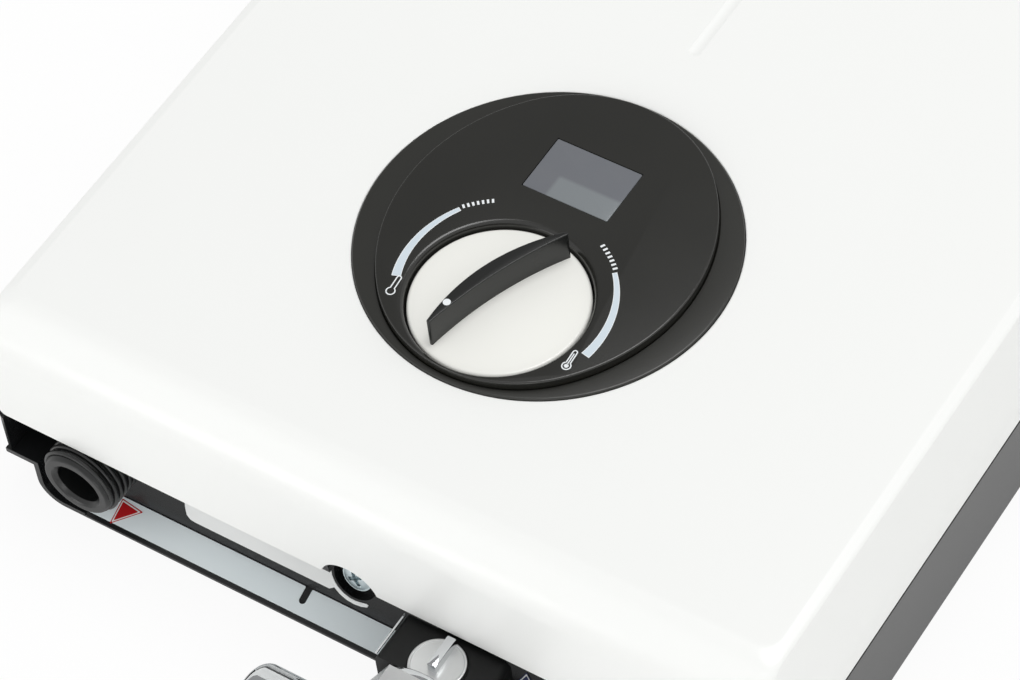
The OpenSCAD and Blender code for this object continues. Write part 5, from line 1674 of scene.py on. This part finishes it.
@dataclass
class Inlet:
    """Black inlet housing, its regulator and the chrome stop valve below it.

    Attributes:
        x: Sideways place of the pipe.
        z: Height above the wall.
        thread_y: Start and end of the valve's free thread.
        thread_r: Radius over the thread.
        thread_depth: Depth of the thread.
        thread_set: Distance of the thread's ridge from the start and from both ends together.
        disc_y: Place of the regulator's axis.
        disc_z: Foot of the regulator's disc.
        disc_r: Radius of the regulator's disc.
        disc_t: Thickness of the regulator's disc.
        disc_rim: Flat width, full width and height of the disc's raised rim.
        disc_edge: Rounding of the rim's outer and inner edges.
        stem_r: Radius of the regulator's stem.
        stem_z: Foot of the stem above the pipe's axis.
        bar: Width and length of the regulator's bar.
        bar_r: Rounding of the bar's corners.
        bar_shift: Shift of the bar along Y.
        bar_h: Height of the bar.
        bar_foot: Depth of the bar's foot in the disc.
        bar_edge: Inset and height below the top of the bar's broken edge.
        collar_y: Ends of the union's collar.
        collar_r: Inner and outer radius of the union's collar.
        collar_edge: Rounding of the collar's lower and upper edge.
        strip_at: Place of the chrome strip that stands in for the highlight on the housing's edge, sideways
            and in height.
        strip_y: Ends of the bright strip.
        strip_w: Width of the bright strip.
        strip_edge: Rounding of the bright strip's edges.
        housing_edge: Width of the housing's broken edges.
        nut_edge: Width of the broken edges of the union's hexagon and the valve's collar.
    """

    shop: Workshop
    x: float = 25.0
    z: float = 18.4
    thread_y: Point = (-241.0, -229.0)
    thread_r: float = 10.4775
    thread_depth: float = 0.95
    thread_set: Point = (0.9, 1.6)
    disc_y: float = -195.6
    disc_z: float = 26.7
    disc_r: float = 6.9
    disc_t: float = 1.6
    disc_rim: Corner = (0.6, 0.75, 0.2)
    disc_edge: Point = (0.25, 0.15)
    stem_r: float = 3.0
    stem_z: float = 1.0
    bar: Point = (2.4, 9.0)
    bar_r: float = 0.35
    bar_shift: float = 2.2
    bar_h: float = 2.2
    bar_foot: float = 0.4
    bar_edge: tuple[Point, ...] = ((0.0, -0.3), (0.1, -0.09), (0.3, 0.0))
    collar_y: Point = (-202.9, -200.3)
    collar_r: Point = (9.3, 12.6)
    collar_edge: Point = (0.3, 1.0)
    strip_at: Point = (10.75, 27.25)
    strip_y: Point = (-199.6, -187.4)
    strip_w: float = 0.5
    strip_edge: float = 0.1
    housing_edge: float = 0.2
    nut_edge: float = 0.25

    def root(self, at: Vector) -> Vector:
        """Draw a point of the valve's free end in to the root of its thread.

        Args:
            at: Point of the valve's body.

        Returns:
            Its new place, which is the old one off the thread.
        """
        out = Vector((at.x - self.x, 0.0, at.z - self.z))
        margin, skin = 0.01, 1.2
        if at.y > self.thread_y[1] + margin or out.length < self.thread_r - skin:
            return at
        return at - out.normalized() * self.thread_depth

    def build(self) -> None:
        """Make the inlet's housing and the chrome pieces."""
        copy, file, plating = self.shop.smooth_copy, self.shop.file, "chrome_plate"
        housing = copy("inlet_fitting", "inlet_housing", edge_mm=self.housing_edge)
        file(housing, Finishes.DEEP_NYLON, "black_satin", "inlet_fitting")
        nut = copy("union_nut", "union_hexagon", edge_mm=self.nut_edge)
        file(nut, Finishes.NICKEL, plating, "union_nut")
        bonnet = copy("valve_bonnet", "valve_collar", edge_mm=self.nut_edge)
        file(bonnet, Finishes.CHROME, plating, "valve_bonnet")
        body = copy("valve_body", "valve_housing", moved=self.root)
        file(body, Finishes.CHROME, plating, "valve_body")
        (low, high), (start, less) = self.thread_y, self.thread_set
        ridge = Thread("valve_thread", (self.x, low + start, self.z), self.thread_r, high - low - less)
        file(ridge.mesh(Finishes.CHROME), Finishes.CHROME, plating)
        self.regulator()
        self.trim()
        handle = copy("valve_knob", "valve_handle")
        file(handle, Finishes.CHROME, plating, "valve_knob", body=Body.STOP_VALVE)
        self.shop.paint(Finishes.BRASS, "valve_spindle")
        self.shop.paint(Finishes.STEEL, "valve_ball", "inlet_strainer")
        self.shop.paint(Finishes.RUBBER, "union_gasket")

    def regulator(self) -> None:
        """Turn the regulator's disc with its raised rim, and lay the bar across it."""
        z, r, face = self.disc_z, self.disc_r, self.disc_z + self.disc_t
        foot = self.z + self.stem_z
        (flat, wide, rise), (outer_r, inner_r) = self.disc_rim, self.disc_edge
        corners: list[Corner] = [(0.0, foot, 0.0), (self.stem_r, foot, 0.0), (self.stem_r, z, 0.0)]
        corners += [(r, z, 0.0), (r, face, outer_r), (r - flat, face, inner_r)]
        corners += [(r - wide, face - rise, inner_r), (0.0, face - rise, 0.0)]
        disc = turned("regulator_disc", filleted(corners), Axis.Z, (self.x, self.disc_y, 0.0), steps=120)
        self.shop.file(disc, Finishes.NICKEL, "chrome_plate", "regulator_spindle", body=Body.REGULATOR)
        w, l = self.bar[0] / 2, self.bar[1] / 2
        y = self.disc_y + self.bar_shift
        levels = [(0.0, face - self.bar_foot)]
        levels += [(inset, face + self.bar_h + h) for inset, h in self.bar_edge]

        def outline(inset: float) -> list[Point]:
            """Return the bar's outline, drawn in by an inset, from its lower right corner."""
            corners = rectangle((-w, -l), (w, l), inset, self.bar_r)
            return filleted(corners[1:] + corners[:1], steps=4)

        def place(across: float, along: float, h: float) -> Vector:
            """Place a point by its distance across and along the bar."""
            return Vector((self.x + across, y + along, h))

        bar = stacked("regulator_bar", outline, levels, place)
        self.shop.file(bar, Finishes.CHROME, "chrome_plate", body=Body.REGULATOR)

    def trim(self) -> None:
        """Make the chrome collar above the union's hexagon, and the thin chrome strip on the housing's edge
        that gives a painted highlight in place of the light the edge catches.
        """
        (low, high), (bore, r), (low_r, high_r) = self.collar_y, self.collar_r, self.collar_edge
        outline = filleted([(bore, low, 0.0), (r, low, low_r), (r, high, high_r), (bore, high, 0.0)])
        collar = turned("union_collar", outline, Axis.Y, (self.x, 0.0, self.z), steps=120)
        self.shop.file(collar, Finishes.CHROME, "chrome_plate")
        # A thin chrome rod along the housing's edge: a painted highlight, standing in for the light that the
        # edge catches.
        x, z = self.strip_at
        square = filleted(rectangle((x, z), (x, z), -self.strip_w / 2, self.strip_edge), steps=3)
        rings = [[Vector((a, y, b)) for a, b in square] for y in self.strip_y]
        self.shop.file(lofted("edge_highlight_strip", rings), Finishes.CHROME, "chrome_plate")


@dataclass
class Inside:
    """Sealed inner pieces, which stay as the CAD has them."""

    shop: Workshop

    def build(self) -> None:
        """Dress the inner pieces."""
        paint = self.shop.paint
        paint(Finishes.IVORY, "flow_sensor", "heater_base", "heater_cover", "terminal_block")
        paint(Finishes.BLUE, "flow_turbine")
        paint(Finishes.ALUMINIUM, "heat_sink")
        paint(Finishes.DARK, "triacs", "thermal_cutout")
        paint(Finishes.RUBBER, "heater_seal")
        paint(Finishes.STEEL, "heating_coils", "block_screws", "power_board_screws")
        paint(Finishes.BRASS, "element_studs", "terminal_screws")
        paint(Finishes.RED, "reset_button")
        paint(Finishes.POWER_BOARD, "power_board")


@dataclass
class Lamp:
    """One soft square lamp.

    Attributes:
        name: Name of the lamp.
        place: Where it stands, in metres.
        target: Point that it faces, in metres.
        side: Side length, in metres.
        power: Power in watts.
    """

    name: str
    place: Corner
    target: Corner
    side: float
    power: float

    def build(self) -> None:
        """Hang the lamp."""
        data = bpy.data.lights.new(self.name, "AREA")
        data.shape = "SQUARE"
        data.size = self.side
        data.energy = self.power
        lamp = linked(self.name, data)
        lamp.location = self.place
        lamp.rotation_euler = (Vector(self.target) - Vector(self.place)).to_track_quat("-Z", "Y").to_euler()
        lamp.visible_camera = False


@dataclass
class Studio:
    """Pale floor, soft light and the camera.

    Attributes:
        floor_side: Side length of the floor, in metres.
        floor_z: Height of the floor, in metres.
        sky: Strength of the even light from all around.
        opening: Strength in the tent's opening, which the black front mirrors.
        opening_at: Direction of the middle of the opening.
        opening_edge: Cosines of the angles from that middle where the opening starts and is full.
        glow: Share of plain white that the camera sees on the floor.
        mirrored: Share of plain white that reflections show of the floor.
        eye: Camera position, in metres.
        right: Camera's right direction.
        down: Camera's down direction.
        ahead: Camera's viewing direction.
        lens: Focal length in millimetres.
        sensor: Width of the sensor in millimetres.
        nearest: Start of the camera's view, in metres.
        lamps: The soft lamps.
    """

    floor_side: float = 8.0
    floor_z: float = -0.0004
    sky: float = 0.83
    opening: float = 0.36
    opening_at: Corner = (-0.379, 0.481, 0.791)
    opening_edge: Point = (0.6, 0.92)
    glow: float = 0.92
    mirrored: float = 0.4
    eye: Corner = (0.368, -0.589005, 0.817814)
    right: Corner = (0.842374, 0.533009, -0.079416)
    down: Corner = (0.383435, -0.696375, -0.606663)
    ahead: Corner = (-0.378661, 0.480586, -0.790983)
    lens: float = 146.65
    sensor: float = 36.0
    nearest: float = 0.05
    lamps: tuple[Lamp, ...] = (
        Lamp("top", (0.15, 0.35, 1.9), (0.0, -0.05, 0.06), 0.9, 14.4),
        Lamp("card_left", (-0.2, -0.6, 0.035), (0.0, -0.19, 0.045), 0.18, 0.31),
        Lamp("card_right", (0.24, -0.6, 0.035), (0.0, -0.19, 0.045), 0.18, 0.31),
    )

    def build(self) -> None:
        """Set up the scene."""
        bpy.context.scene.view_settings.view_transform = "Standard"
        self.world()
        self.floor()
        self.camera()
        for lamp in self.lamps:
            lamp.build()

    def world(self) -> None:
        """Light the scene evenly from all around, with the tent's dimmer opening above the far side."""
        world = bpy.data.worlds.new("light_tent")
        world.use_nodes = True
        tree = world.node_tree
        tree.nodes.clear()
        way = add_node(tree, "ShaderNodeTexCoord").outputs["Generated"]
        near = add_node(tree, "ShaderNodeVectorMath", {0: way, 1: self.opening_at}, operation="DOT_PRODUCT")
        first, last = self.opening_edge
        fade = {0: near.outputs["Value"], 1: first, 2: last, 3: self.sky, 4: self.opening}
        light = add_node(tree, "ShaderNodeMapRange", fade, interpolation_type="SMOOTHSTEP")
        glow = {"Color": linear("#ffffff"), "Strength": light.outputs[0]}
        sky = add_node(tree, "ShaderNodeBackground", glow)
        add_node(tree, "ShaderNodeOutputWorld", {"Surface": sky.outputs[0]})
        bpy.context.scene.world = world

    def floor(self) -> None:
        """Lay the white paper floor, which the camera and reflections see as nearly plain white."""
        half = self.floor_side / 2
        corners = [(x, y, self.floor_z) for x, y, _ in rectangle((-half, -half), (half, half))]
        mesh = bpy.data.meshes.new("paper_floor")
        mesh.from_pydata(corners, [], [(0, 1, 2, 3)])
        floor = linked("paper_floor", mesh)
        paper = bpy.data.materials.new("paper_matt_white")
        paper.use_nodes = True
        tree = paper.node_tree
        tree.nodes.clear()
        ray = add_node(tree, "ShaderNodeLightPath").outputs
        either = {0: ray["Is Transmission Ray"], 1: ray["Is Glossy Ray"]}
        bounced = add_node(tree, "ShaderNodeMath", either, operation="MAXIMUM")
        shares = []
        for seen, strength in ((ray["Is Camera Ray"], self.glow), (bounced.outputs[0], self.mirrored)):
            part = add_node(tree, "ShaderNodeMath", {0: seen, 1: strength}, operation="MULTIPLY")
            shares.append(part.outputs[0])
        share = add_node(tree, "ShaderNodeMath", {0: shares[0], 1: shares[1]}, operation="MAXIMUM")
        matt = add_node(tree, "ShaderNodeBsdfDiffuse", {"Color": linear("#f6f6f5")})
        white = add_node(tree, "ShaderNodeEmission", {"Color": linear("#ffffff"), "Strength": 1.0})
        mixture = {0: share.outputs[0], 1: matt.outputs[0], 2: white.outputs[0]}
        mixed = add_node(tree, "ShaderNodeMixShader", mixture)
        add_node(tree, "ShaderNodeOutputMaterial", {"Surface": mixed.outputs[0]})
        mesh.materials.append(paper)

    def camera(self) -> None:
        """Place the camera at the photograph's viewpoint."""
        data = bpy.data.cameras.new("camera")
        data.sensor_fit = "HORIZONTAL"
        data.sensor_width = self.sensor
        data.lens = self.lens
        data.clip_start = self.nearest
        camera = linked("camera", data)
        turn = Matrix((self.right, -Vector(self.down), -Vector(self.ahead))).transposed().to_4x4()
        camera.matrix_world = Matrix.Translation(self.eye) @ turn
        bpy.context.scene.camera = camera


def main() -> None:
    """Build the heater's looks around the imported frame."""
    logging.basicConfig(level=logging.INFO, format="%(name)s: %(message)s")
    for leftover in list(bpy.data.objects):
        bpy.data.objects.remove(leftover)
    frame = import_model()
    Studio().build()
    shop = Workshop(frame["nodes"])
    for assembly in (Casing, Bay, Dial, Knob, Outlet, Inlet, Inside):
        assembly(shop).build()


if __name__ == "__main__":
    main()
